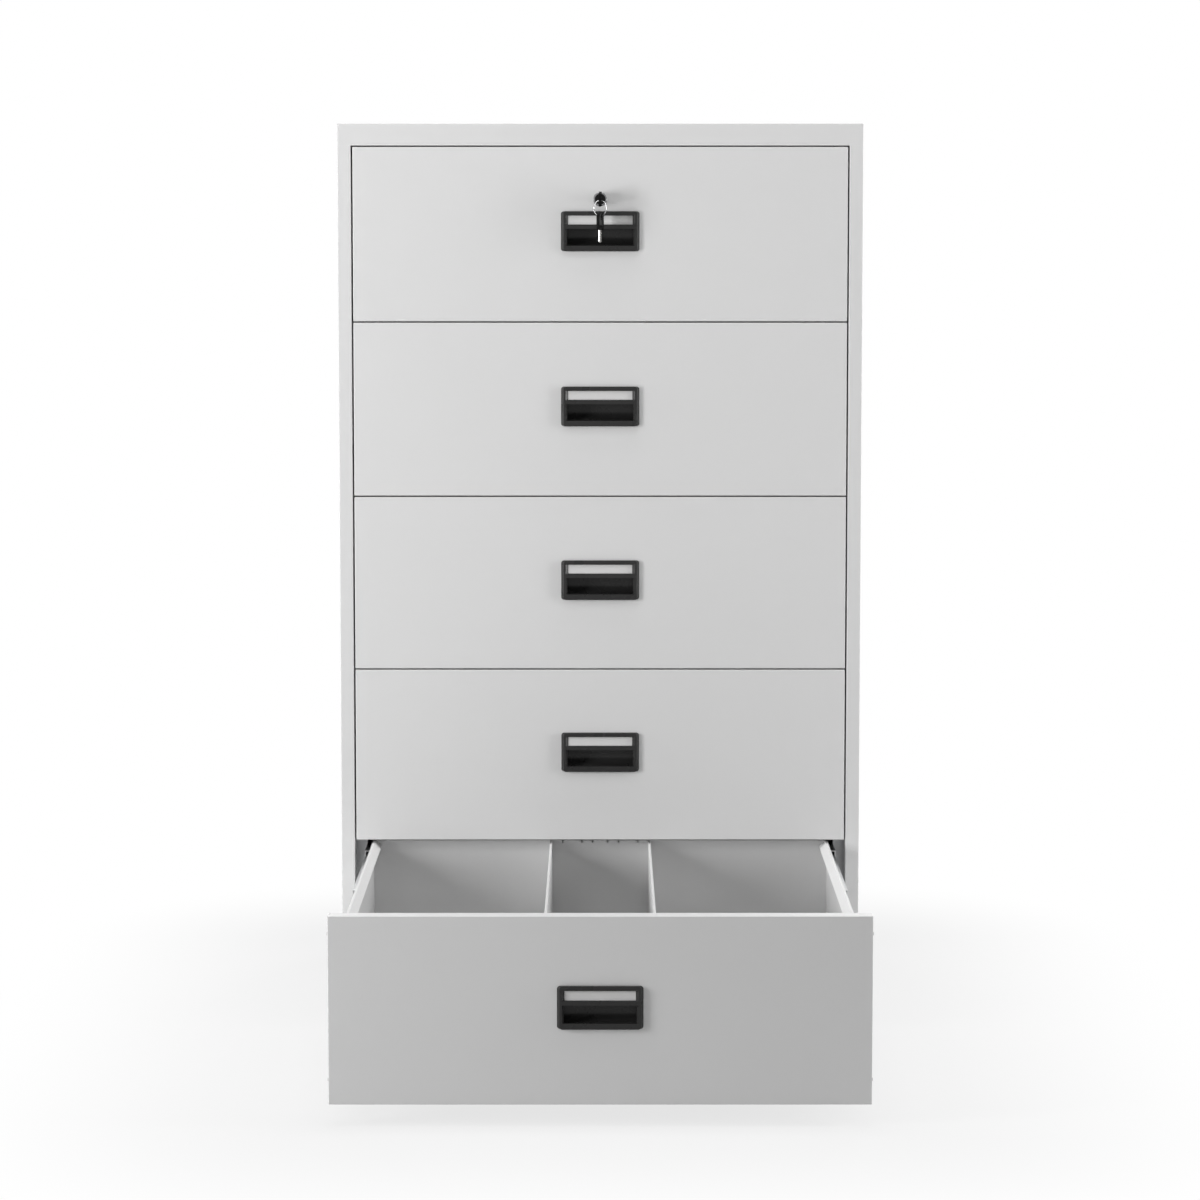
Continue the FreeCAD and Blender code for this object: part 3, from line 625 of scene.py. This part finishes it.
PAINT = PowderCoat()
HANDLE_PLASTIC = MouldedPlastic()
BOW_PLASTIC = MouldedPlastic(name="key_bow_plastic", level=0.005, grain_scale=2600.0, rough_low=0.22,
                             rough_high=0.32, specular=0.07)
RUBBER = MouldedPlastic(name="grey_rubber", level=0.42, grain_scale=1400.0, rough_low=0.6, rough_high=0.75,
                        specular=0.4)
ZINC = Metal("zinc_plate", 0.56, 0.3, 0.48, warmth=-0.01)
BALL_STEEL = Metal("ball_steel", 0.62, 0.12, 0.2, stretch=EVEN, contrast=0.03)
RIM_METAL = Metal("dark_chrome", 0.24, 0.1, 0.18, warmth=-0.01, stretch=EVEN, contrast=0.04)
RING_STEEL = Metal("ring_steel", 0.48, 0.14, 0.24, warmth=-0.01, stretch=EVEN, contrast=0.04)
PLUG_METAL = Metal("black_nickel", 0.018, 0.2, 0.32, stretch=EVEN, contrast=0.1)
BLADE_METAL = Metal("nickel_silver", 0.66, 0.14, 0.26, warmth=0.02, stretch=(1.0, 1.0, 0.05), contrast=0.06)
CARD = Card()
FOOT = LevellingFoot()


def apply_finish(piece: Mesh, finish: Finish) -> None:
    """Give a piece a finish in place of what it has."""
    piece.data.materials.clear()
    piece.data.materials.append(finish.material())


def dress(node: str, finish: Finish) -> None:
    """Give a node of the frame a finish."""
    apply_finish(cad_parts[node], finish)


# Modelling by hand


def turned(degrees: float, axis: str) -> Matrix:
    """A turn about one axis."""
    return Matrix.Rotation(math.radians(degrees), 4, axis)


def take(piece: Mesh) -> None:
    """Make a piece the only one that is selected, and the active one.

    Args:
        piece: The object to take.
    """
    bpy.ops.object.select_all(action="DESELECT")
    piece.select_set(True)
    bpy.context.view_layer.objects.active = piece


@contextmanager
def editing(piece: Mesh, kind: Pick = Pick.FACES) -> Iterator[None]:
    """Work on one piece in edit mode, with nothing selected at first.

    Args:
        piece: The object to edit.
        kind: What the selections are made of.

    Yields:
        Nothing. Object mode comes back when the block ends.
    """
    take(piece)
    bpy.ops.object.mode_set(mode="EDIT")
    bpy.ops.mesh.select_mode(type=kind.value)
    bpy.ops.mesh.select_all(action="DESELECT")
    yield
    bpy.ops.object.mode_set(mode="OBJECT")


def choose(piece: Mesh, kind: Pick, test: Callable[[Vector, Vector], bool]) -> None:
    """Select faces, edges or points of the piece in edit mode by their place.

    Args:
        piece: The object being edited.
        kind: What is selected.
        test: Called with the middle and the normal or direction.
    """
    bpy.ops.mesh.select_mode(type=kind.value)
    bpy.ops.mesh.select_all(action="DESELECT")
    bpy.ops.object.mode_set(mode="OBJECT")
    mesh = piece.data
    if kind is Pick.FACES:
        for face in mesh.polygons:
            face.select = test(face.center, face.normal)
    elif kind is Pick.EDGES:
        for edge in mesh.edges:
            first, last = (mesh.vertices[index].co for index in edge.vertices)
            edge.select = test((first + last) / 2, (last - first).normalized())
    else:
        for vertex in mesh.vertices:
            vertex.select = test(vertex.co, vertex.normal)
    bpy.ops.object.mode_set(mode="EDIT")


def finish_add(name: str) -> Mesh:
    """Name the primitive just added and put its place into its mesh.

    Args:
        name: The object's name.

    Returns:
        The primitive's object, at the origin.
    """
    piece = bpy.context.active_object
    piece.name = piece.data.name = name
    bpy.ops.object.transform_apply(location=True, rotation=True, scale=True)
    return piece


def add_block(name: str, low: Point, high: Point) -> Mesh:
    """Add a block between two corners.

    Args:
        name: The object's name.
        low: Its lowest corner.
        high: Its highest corner.

    Returns:
        The new object.
    """
    bpy.ops.object.select_all(action="DESELECT")
    middle = (Vector(low) + Vector(high)) / 2
    size = Vector(high) - Vector(low)
    bpy.ops.mesh.primitive_cube_add(size=1, location=middle, scale=size)
    return finish_add(name)


def add_rod(name: str, radius: float, low: Point, length: float, sides: int, axis: str = "Z") -> Mesh:
    """Add a rod that starts at a point and runs along an axis.

    Args:
        name: The object's name.
        radius: The rod's radius.
        low: The middle of its first end.
        length: Its length along the axis.
        sides: How many sides it has.
        axis: X, Y or Z.

    Returns:
        The new object.
    """
    bpy.ops.object.select_all(action="DESELECT")
    along = {"X": Vector((1, 0, 0)), "Y": Vector((0, 1, 0)), "Z": Vector((0, 0, 1))}[axis]
    turn = along.to_track_quat("Z", "Y").to_euler()
    bpy.ops.mesh.primitive_cylinder_add(vertices=sides, radius=radius, depth=length,
                                        location=Vector(low) + along * length / 2, rotation=turn)
    return finish_add(name)


def apply_modifier(piece: Mesh, kind: str, **settings: object) -> None:
    """Add a modifier to a piece and apply it.

    Args:
        piece: The object to change.
        kind: The modifier's type.
        **settings: The modifier's own options.
    """
    take(piece)
    modifier = piece.modifiers.new(kind.lower(), kind)
    for name, setting in settings.items():
        setattr(modifier, name, setting)
    bpy.ops.object.modifier_apply(modifier=modifier.name)


def discard(piece: Mesh) -> None:
    """Delete a piece that has done its work, such as a cutter or a template."""
    bpy.data.objects.remove(piece)


def cut(piece: Mesh, cutter: Mesh) -> None:
    """Take a cutter away from a piece and delete the cutter."""
    apply_modifier(piece, "BOOLEAN", operation="DIFFERENCE", object=cutter, solver="EXACT")
    discard(cutter)


def soften(piece: Mesh, width: float, segments: int, angle: float = SMOOTH_DEGREES) -> None:
    """Round a piece's sharp edges and shade it smooth up to an angle.

    Args:
        piece: The object to change.
        width: The width of the rounding.
        segments: How many steps the rounding has.
        angle: The least angle of a sharp edge, in degrees.
    """
    apply_modifier(piece, "BEVEL", width=width, segments=segments, limit_method="ANGLE",
                   angle_limit=math.radians(angle), use_clamp_overlap=True)
    bpy.ops.object.shade_smooth_by_angle(angle=math.radians(angle))


def copy_at(template: Mesh, name: str, place: Matrix) -> Mesh:
    """Copy a piece with its own mesh and put the copy at a place.

    Args:
        template: The object that is copied.
        name: The copy's name.
        place: Where its mesh goes.

    Returns:
        The copy.
    """
    piece = template.copy()
    piece.data = template.data.copy()
    piece.name = piece.data.name = name
    piece.data.transform(place)
    bpy.context.scene.collection.objects.link(piece)
    return piece


def join(name: str, pieces: list[Mesh]) -> Mesh:
    """Join pieces into one object at the origin.

    Args:
        name: The name of the result.
        pieces: The objects that go into it.

    Returns:
        The joined object.
    """
    bpy.ops.object.select_all(action="DESELECT")
    for piece in pieces:
        piece.select_set(True)
    bpy.context.view_layer.objects.active = pieces[0]
    bpy.ops.object.join()
    joined = bpy.context.active_object
    joined.name = joined.data.name = name
    return joined


def hand_over(piece: Mesh, finish: Finish, body: str) -> Mesh:
    """Give a new piece its finish and the body that it rides on.

    Args:
        piece: The new object.
        finish: What its surface is.
        body: The body that carries it.

    Returns:
        The same object.
    """
    apply_finish(piece, finish)
    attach(piece, body)
    LOG.info("piece %s: %d faces on body %s", piece.name, len(piece.data.polygons), body)
    return piece


# The cabinet


@dataclass
class Carcass:
    """The painted shell and the zinc-plated channels inside it."""

    painted: tuple[str, ...] = ("top_cap", "side_panel_left", "side_panel_right", "back_panel", "base_pan")
    plated: tuple[str, ...] = ("uprights", "cabinet_runners", "interlock_bar")
    feet: tuple[str, ...] = ("front_left", "front_right", "rear_left", "rear_right")

    def dress(self) -> None:
        """Finish the carcass's nodes."""
        for node in self.painted:
            dress(node, PAINT)
        for node in self.plated:
            dress(node, ZINC)
        for corner in self.feet:
            dress(f"levelling_foot_{corner}", FOOT)
        LOG.info("carcass dressed")


@dataclass
class Screw:
    """A pan-head screw with a cross recess, seen from outside."""

    radius: float = 3.6 * MM
    height: float = 1.9 * MM
    slot_length: float = 3.6 * MM
    slot_width: float = 0.8 * MM
    slot_depth: float = 1.2 * MM
    edge: float = 0.7 * MM
    sides: int = 24
    edge_steps: int = 3
    near: float = 0.1 * MM

    def template(self) -> Mesh:
        """Model the head once, standing on the origin along +Z.

        Returns:
            The head that the others are copied from.
        """
        head = add_rod("screw_head", self.radius, (0, 0, 0), self.height, sides=self.sides)
        with editing(head, Pick.EDGES):
            top = self.height - self.near
            choose(head, Pick.EDGES, lambda middle, direction: middle.z > top)
            bpy.ops.mesh.bevel(offset=self.edge, segments=self.edge_steps, affect="EDGES")
        low = self.height - self.slot_depth
        length, width = self.slot_length / 2, self.slot_width / 2
        for across, along in ((length, width), (width, length)):
            cutter = add_block("recess", (-across, -along, low), (across, along, 2 * self.height))
            cut(head, cutter)
        take(head)
        bpy.ops.object.shade_smooth_by_angle(angle=math.radians(SMOOTH_DEGREES))
        return head


@dataclass
class Drawer:
    """A drawer: front, tray, dividers, handle, label and its own runner members."""

    number: int
    screw: Mesh
    wall: float = 1.0 * MM
    front_screw_height: float = 60.0 * MM
    front_screw_reach: float = 250.0 * MM
    runner_thickness: float = 1.2 * MM
    runner_screw_inset: float = 40.0 * MM

    def dress(self) -> None:
        """Finish the drawer's own nodes."""
        name = f"drawer_{self.number}"
        for part in ("front", "tray", "dividers"):
            dress(f"{name}_{part}", PAINT)
        dress(f"{name}_handle", HANDLE_PLASTIC)
        dress(f"{name}_label", CARD)
        dress(f"{name}_bumpers", RUBBER)
        dress(f"{name}_runners", ZINC)

    def build(self) -> None:
        """Add the screws that hold the front to the tray and the runners to its sides."""
        name = f"drawer_{self.number}"
        hand_over(self.front_screws(name), ZINC, name)
        hand_over(self.runner_screws(name), ZINC, name)

    def front_screws(self, name: str) -> Mesh:
        """Screws through the tray's front wall, heads inside the tray.

        Args:
            name: The drawer's name.

        Returns:
            The heads as one object.
        """
        low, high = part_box(f"{name}_tray")
        inside = low.y + self.wall
        upright = turned(-QUARTER_TURN, "X")
        heads = []
        for across in (-self.front_screw_reach, self.front_screw_reach):
            for level in (low.z + self.front_screw_height, high.z - self.front_screw_height):
                place = Matrix.Translation((across, inside, level)) @ upright
                heads.append(copy_at(self.screw, "head", place))
        return join(f"{name}_front_screws", heads)

    def runner_screws(self, name: str) -> Mesh:
        """Screws in the webs of the drawer's runner members.

        Args:
            name: The drawer's name.

        Returns:
            The heads as one object.
        """
        low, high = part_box(f"{name}_runners")
        tray_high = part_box(f"{name}_tray")[1]
        middle = (low + high) / 2
        level = middle.z
        web = tray_high.x + self.runner_thickness
        heads = []
        for side in (-1, 1):
            outwards = turned(QUARTER_TURN * side, "Y")
            for along in (low.y + self.runner_screw_inset, middle.y, high.y - self.runner_screw_inset):
                place = Matrix.Translation((side * web, along, level)) @ outwards
                heads.append(copy_at(self.screw, "head", place))
        return join(f"{name}_runner_screws", heads)


@dataclass
class BallCages:
    """The cages of steel balls between the members of one drawer's runners, left and right."""

    number: int
    ball_radius: float = 2.2 * MM
    strip_thickness: float = 0.6 * MM
    strip_half_width: float = 2.6 * MM
    outer_row: float = 19.05 * MM
    inner_row: float = 13.3 * MM
    inset: float = 4.3 * MM
    cage_length: float = 240.0 * MM
    cage_margin: float = 8.0 * MM
    balls: int = 9
    ball_sides: int = 8
    ball_rings: int = 6

    def cage(self, ball: Mesh, across: float, start: float, level: float, name: str) -> list[Mesh]:
        """One strip with its balls.

        Args:
            ball: The ball that is copied.
            across: The cage's place along X.
            start: Its front end along Y.
            level: Its height.
            name: The strip's name.

        Returns:
            The strip and the balls.
        """
        half = self.strip_half_width
        thick = self.strip_thickness / 2
        strip = add_block(name, (across - half, start, level - thick),
                          (across + half, start + self.cage_length, level + thick))
        soften(strip, thick / 2, segments=1)
        made = [strip]
        pitch = self.cage_length / self.balls
        for step in range(self.balls):
            place = Matrix.Translation((across, start + pitch * (step + 0.5), level))
            made.append(copy_at(ball, f"{name}_ball", place))
        return made

    def build(self) -> None:
        """Model the eight cages of both sides, which go with the middle members."""
        body = f"middle_runners_{self.number}"
        low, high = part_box(body)
        level = (low.z + high.z) / 2
        bpy.ops.object.select_all(action="DESELECT")
        bpy.ops.mesh.primitive_uv_sphere_add(segments=self.ball_sides, ring_count=self.ball_rings,
                                             radius=self.ball_radius)
        ball = finish_add("ball")
        bpy.ops.object.shade_smooth()
        made: list[Mesh] = []
        rear = high.y - self.cage_length - self.cage_margin
        front = low.y + self.cage_margin
        for side in (-1, 1):
            across = side * (high.x - self.inset)
            for up in (-1, 1):
                made += self.cage(ball, across, rear, level + up * self.outer_row, "outer_cage")
                made += self.cage(ball, across, front, level + up * self.inner_row, "inner_cage")
        discard(ball)
        cages = join(f"ball_cages_{self.number}", made)
        hand_over(cages, BALL_STEEL, body)
        dress(body, ZINC)


@dataclass
class KeyShape:
    """A key with a moulded bow and a milled blade, modelled hanging from the hole in its bow."""

    bow_half_width: float = 11.0 * MM
    bow_top: float = 7.7 * MM
    bow_bottom: float = -18.8 * MM
    bow_half_thickness: float = 2.2 * MM
    corner: float = 6.0 * MM
    hole: float = 4.0 * MM
    rim: float = 2.4 * MM
    panel_depth: float = 0.5 * MM
    blade_half_width: float = 3.8 * MM
    blade_half_thickness: float = 1.1 * MM
    blade_length: float = 18.0 * MM
    groove_half_width: float = 0.8 * MM
    groove_depth: float = 0.45 * MM
    bit_pitch: float = 1.5 * MM
    bit_depths: tuple[float, ...] = (0.2, 1.5, 0.6, 2.0, 2.0, 0.9, 1.6, 0.4, 1.2)
    tip_share: float = 0.45
    bow_edge: float = 0.45 * MM
    bow_edge_steps: int = 3
    bow_smooth: float = 40.0
    blade_edge: float = 0.15 * MM
    blade_edge_steps: int = 2
    blade_smooth: float = 30.0
    blade_lap: float = 1.0 * MM
    corner_steps: int = 8
    hole_sides: int = 40
    most: float = 0.9
    near: float = 0.1 * MM

    def bow(self) -> Mesh:
        """The bow: a rounded plate with sunk panels and the ring's hole.

        Returns:
            The bow, hanging from the middle of its hole.
        """
        thick = self.bow_half_thickness
        bow = add_block("bow", (-thick, -self.bow_half_width, self.bow_bottom),
                        (thick, self.bow_half_width, self.bow_top))
        with editing(bow, Pick.EDGES):
            choose(bow, Pick.EDGES, lambda middle, direction: abs(direction.x) > self.most)
            bpy.ops.mesh.bevel(offset=self.corner, segments=self.corner_steps, affect="EDGES")
            choose(bow, Pick.FACES, lambda middle, normal: abs(normal.x) > self.most)
            bpy.ops.mesh.inset(thickness=self.rim, use_individual=True)
            bpy.ops.mesh.inset(thickness=self.panel_depth, depth=-self.panel_depth, use_individual=True)
        reach = 2 * thick
        cut(bow, add_rod("hole", self.hole, (-reach, 0, 0), 2 * reach, sides=self.hole_sides, axis="X"))
        soften(bow, self.bow_edge, segments=self.bow_edge_steps, angle=self.bow_smooth)
        return bow

    def blade(self) -> Mesh:
        """The blade: a bar with a groove along each face and a cut edge.

        Returns:
            The blade, below the bow.
        """
        half, thick = self.blade_half_width, self.blade_half_thickness
        tip = self.bow_bottom - self.blade_length
        groove = self.groove_half_width
        blade = add_block("blade", (-thick, -half, tip), (thick, half, self.bow_bottom + self.blade_lap))
        with editing(blade):
            for level in (-groove, groove):
                bpy.ops.mesh.select_all(action="SELECT")
                bpy.ops.mesh.bisect(plane_co=(0, level, 0), plane_no=(0, 1, 0))
            choose(blade, Pick.FACES,
                   lambda middle, normal: abs(normal.x) > self.most and abs(middle.y) < groove)
            bpy.ops.mesh.inset(thickness=0.0, depth=-self.groove_depth, use_individual=True)
            for step in range(1, len(self.bit_depths) + 1):
                bpy.ops.mesh.select_all(action="SELECT")
                bpy.ops.mesh.bisect(plane_co=(0, 0, tip + step * self.bit_pitch), plane_no=(0, 0, 1))
            for step, depth in enumerate(self.bit_depths, 1):
                level = tip + step * self.bit_pitch
                choose(blade, Pick.POINTS,
                       lambda place, normal: place.y > half - self.near and abs(place.z - level) < self.near)
                bpy.ops.transform.translate(value=(0, -depth * MM, 0))
            choose(blade, Pick.POINTS,
                   lambda place, normal: place.z < tip + self.near and abs(place.y) > half * self.most)
            bpy.ops.transform.resize(value=(1, self.tip_share, 1), center_override=(0, 0, tip))
        soften(blade, self.blade_edge, segments=self.blade_edge_steps, angle=self.blade_smooth)
        return blade


@dataclass
class Keys:
    """The key in the lock, the spare and the split ring that joins them."""

    shape: KeyShape
    spare_turn: float = -19.0
    ring_turn: float = -35.0
    wire_radius: float = 0.32 * MM
    wire_sides: int = 12
    coil_pitch: float = 2.1
    ring_turns: float = 1.93
    ring_steps: int = 120
    ring_smooth: float = 40.0

    def build(self) -> None:
        """Model the keys and the ring in place of their nodes."""
        bow, blade = self.shape.bow(), self.shape.blade()
        top = self.shape.bow_top
        low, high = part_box("key")
        middle = (low + high) / 2
        in_lock = Matrix.Translation((middle.x, low.y + top, middle.z)) @ turned(QUARTER_TURN, "X")
        low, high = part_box("spare_key")
        middle = (low + high) / 2
        hanging = Matrix.Translation((middle.x, middle.y, high.z - top)) @ turned(self.spare_turn, "Z")
        for node, place in (("key", in_lock), ("spare_key", hanging)):
            head = hand_over(copy_at(bow, f"{node}_bow", place), BOW_PLASTIC, node)
            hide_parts(node)
            bar = hand_over(copy_at(blade, f"{node}_blade", place), BLADE_METAL, node)
            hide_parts(node)
        discard(bow)
        discard(blade)
        self.build_ring()

    def build_ring(self) -> None:
        """A split ring: a wire wound nearly twice round, with flat ends."""
        low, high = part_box("key_ring")
        middle = (low + high) / 2
        outer = (high.z - low.z) / 2
        bpy.ops.object.select_all(action="DESELECT")
        bpy.ops.mesh.primitive_circle_add(vertices=self.wire_sides, radius=self.wire_radius,
                                          fill_type="NOTHING", location=(outer - 2 * self.wire_radius, 0, 0),
                                          rotation=(math.radians(QUARTER_TURN), 0, 0))
        wire = finish_add("split_ring")
        pitch = self.coil_pitch * self.wire_radius
        apply_modifier(wire, "SCREW", axis="Z", angle=math.radians(FULL_TURN * self.ring_turns),
                       screw_offset=pitch * self.ring_turns, steps=self.ring_steps,
                       render_steps=self.ring_steps, use_merge_vertices=False)
        with editing(wire, Pick.EDGES):
            bpy.ops.mesh.select_non_manifold()
            bpy.ops.mesh.fill_holes(sides=0)
            bpy.ops.mesh.select_all(action="SELECT")
            bpy.ops.mesh.normals_make_consistent(inside=False)
        upright = turned(self.ring_turn, "Z") @ turned(QUARTER_TURN, "X")
        centred = Matrix.Translation((0, 0, -pitch * self.ring_turns / 2))
        wire.data.transform(Matrix.Translation(middle) @ upright @ centred)
        bpy.ops.object.shade_smooth_by_angle(angle=math.radians(self.ring_smooth))
        hand_over(wire, RING_STEEL, "key_ring")
        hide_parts("key_ring")


@dataclass
class Lock:
    """The cylinder lock and the bolt behind the top rail."""

    finishes: tuple[tuple[str, Finish], ...] = (
        ("lock_housing", RIM_METAL), ("lock_nut", ZINC), ("lock_plug", PLUG_METAL),
        ("lock_cam", ZINC), ("lock_bolt", ZINC), ("key_ring", RING_STEEL),
        ("key", BOW_PLASTIC), ("spare_key", BOW_PLASTIC),
    )

    def dress(self) -> None:
        """Finish the lock's nodes."""
        for node, finish in self.finishes:
            dress(node, finish)
        LOG.info("lock dressed")


# The studio


@dataclass(frozen=True)
class SoftLight:
    """A rectangular lamp that looks at the cabinet.

    Args:
        name: The lamp's name.
        place: Where it hangs, in metres.
        power: The lamp's power in watts.
        width: Its width in metres.
        height: Its height in metres.
        aim: The point that it faces.
    """

    name: str
    place: Point
    power: float
    width: float
    height: float
    aim: Point = (0.0, -0.4, 0.7)

    def build(self) -> None:
        """Hang the lamp."""
        light = bpy.data.lights.new(self.name, "AREA")
        light.shape = "RECTANGLE"
        light.size, light.size_y = self.width, self.height
        light.energy = self.power
        lamp = bpy.data.objects.new(self.name, light)
        lamp.location = self.place
        lamp.rotation_euler = (Vector(self.place) - Vector(self.aim)).to_track_quat("Z", "Y").to_euler()
        bpy.context.scene.collection.objects.link(lamp)


@dataclass
class Studio:
    """White floor and surroundings, soft lamps and the camera.

    The photograph's uprights are parallel, as with a shifted lens. A small shift and a
    little tilt keep them nearly so, and leave the object whole in views from other sides.
    """

    camera_place: Point = (-0.0003, -5.390, 1.2076)
    camera_drop: float = 5.068
    lens: float = 102.83
    sensor: float = 36.0
    shift: float = -0.06
    floor_size: float = 60.0
    floor_level: float = 0.5
    floor_swing: float = 0.005
    floor_scale: float = 0.7
    shown_level: float = 0.5
    near_glow: float = 0.76
    glow_reach: float = 0.55
    ambient: float = 0.28
    lamps: tuple[SoftLight, ...] = (
        SoftLight("left_lamp", (-3.0, -1.8, 1.05), 98.0, 0.8, 1.6),
        SoftLight("left_high_lamp", (-1.6, -1.4, 3.0), 8.0, 0.8, 0.8),
        SoftLight("left_edge_lamp", (-3.0, -0.6, 0.8), 6.0, 0.06, 1.0),
        SoftLight("right_lamp", (3.0, -0.92, 1.1), 69.0, 0.5, 2.0),
        SoftLight("top_lamp", (0.0, -0.5, 3.2), 23.0, 1.4, 0.3, (0.0, -0.5, 0.7)),
        SoftLight("front_top_lamp", (0.0, -1.2, 3.2), 11.0, 1.4, 0.4, (0.0, -0.7, 0.5)),
        SoftLight("rear_left_lamp", (-1.2, 3.0, 2.0), 20.0, 1.2, 1.2, (0.0, 0.0, 0.7)),
        SoftLight("rear_right_lamp", (1.6, 3.0, 2.0), 40.0, 1.2, 1.2, (0.0, 0.0, 0.7)),
    )

    def build(self) -> None:
        """Set up the view, the floor, the world and the lamps."""
        bpy.context.scene.view_settings.view_transform = "Standard"
        self.set_camera()
        self.set_floor()
        self.set_world()
        for lamp in self.lamps:
            lamp.build()
        LOG.info("studio ready")

    def set_camera(self) -> None:
        """Stand the camera where the photograph was taken from."""
        data = bpy.data.cameras.new("camera")
        data.sensor_width = self.sensor
        data.lens = self.lens
        data.shift_y = self.shift
        camera = bpy.data.objects.new("camera", data)
        camera.location = self.camera_place
        camera.rotation_euler = (math.radians(QUARTER_TURN - self.camera_drop), 0, 0)
        bpy.context.scene.collection.objects.link(camera)
        bpy.context.scene.camera = camera

    @staticmethod
    def seen_directly(graph: Graph) -> object:
        """1 for camera, glossy and transmission rays, and 0 for the rest.

        Args:
            graph: The material's or the world's graph.

        Returns:
            The output that holds the share.
        """
        path = graph.add("ShaderNodeLightPath")
        shiny = graph.sum_up("ADD", path.outputs["Is Glossy Ray"], path.outputs["Is Transmission Ray"])
        return graph.sum_up("ADD", path.outputs["Is Camera Ray"], shiny, clamp=True)

    def glow(self, graph: Graph) -> object:
        """How much of the floor's white is its own: less close to the cabinet, where the shadow lies.

        Args:
            graph: The floor's graph.

        Returns:
            The output that holds the share.
        """
        low, high = CAD_BOX
        parts = graph.add("ShaderNodeSeparateXYZ", {"Vector": Finish.place(graph)})
        outside = []
        for axis in range(2):
            middle, half = (low[axis] + high[axis]) / 2, (high[axis] - low[axis]) / 2
            away = graph.sum_up("SUBTRACT", parts.outputs[axis], middle)
            beyond = graph.sum_up("SUBTRACT", graph.sum_up("ABSOLUTE", away, 0.0), half)
            outside.append(graph.sum_up("MAXIMUM", beyond, 0.0))
        squares = [graph.sum_up("MULTIPLY", side, side) for side in outside]
        distance = graph.sum_up("SQRT", graph.sum_up("ADD", squares[0], squares[1]), 0.0)
        ramp = graph.add("ShaderNodeMapRange", {
            "Value": distance, "From Max": self.glow_reach, "To Min": self.near_glow, "To Max": 1.0,
        }, interpolation_type="SMOOTHSTEP")
        return ramp.outputs["Result"]

    def set_floor(self) -> None:
        """A white floor that keeps the shadow and otherwise meets the white surroundings."""
        bpy.ops.object.select_all(action="DESELECT")
        bpy.ops.mesh.primitive_plane_add(size=self.floor_size)
        floor = finish_add("studio_floor")
        made = bpy.data.materials.new("studio_floor")
        made.use_nodes = True
        made.node_tree.nodes.clear()
        graph = Graph(made.node_tree)
        noise = graph.add("ShaderNodeTexNoise", {"Vector": Finish.place(graph), "Scale": self.floor_scale})
        low, high = self.floor_level * (1 - self.floor_swing), self.floor_level * (1 + self.floor_swing)
        tone = graph.blend(noise.outputs["Fac"], grey(low), grey(high))
        plain = graph.add("ShaderNodeBsdfDiffuse", {"Color": tone})
        lit = graph.add("ShaderNodeBsdfDiffuse", {"Color": grey(self.shown_level)})
        glow = graph.add("ShaderNodeEmission", {"Color": grey(1.0)})
        shown = graph.add("ShaderNodeMixShader", {0: self.glow(graph), 1: lit.outputs[0], 2: glow.outputs[0]})
        mix = graph.add("ShaderNodeMixShader", {
            0: self.seen_directly(graph), 1: plain.outputs[0], 2: shown.outputs[0],
        })
        graph.add("ShaderNodeOutputMaterial", {"Surface": mix.outputs[0]})
        floor.data.materials.append(made)

    def set_world(self) -> None:
        """White surroundings, seen at full white and lighting at the ambient level."""
        world = bpy.data.worlds.new("surroundings")
        bpy.context.scene.world = world
        world.use_nodes = True
        world.node_tree.nodes.clear()
        graph = Graph(world.node_tree)
        light = graph.add("ShaderNodeBackground", {"Color": grey(1.0), "Strength": self.ambient})
        seen = graph.add("ShaderNodeBackground", {"Color": grey(1.0), "Strength": 1.0})
        mix = graph.add("ShaderNodeMixShader", {
            0: self.seen_directly(graph), 1: light.outputs[0], 2: seen.outputs[0],
        })
        graph.add("ShaderNodeOutputWorld", {"Surface": mix.outputs[0]})


def main() -> None:
    """Build the studio and then the cabinet, piece by piece."""
    logging.basicConfig(level=logging.INFO, format="%(message)s")
    Studio().build()
    Carcass().dress()
    screw = Screw().template()
    for number in DRAWERS:
        drawer = Drawer(number, screw)
        drawer.dress()
        drawer.build()
        BallCages(number).build()
    discard(screw)
    Lock().dress()
    Keys(KeyShape()).build()


if __name__ == "__main__":
    main()
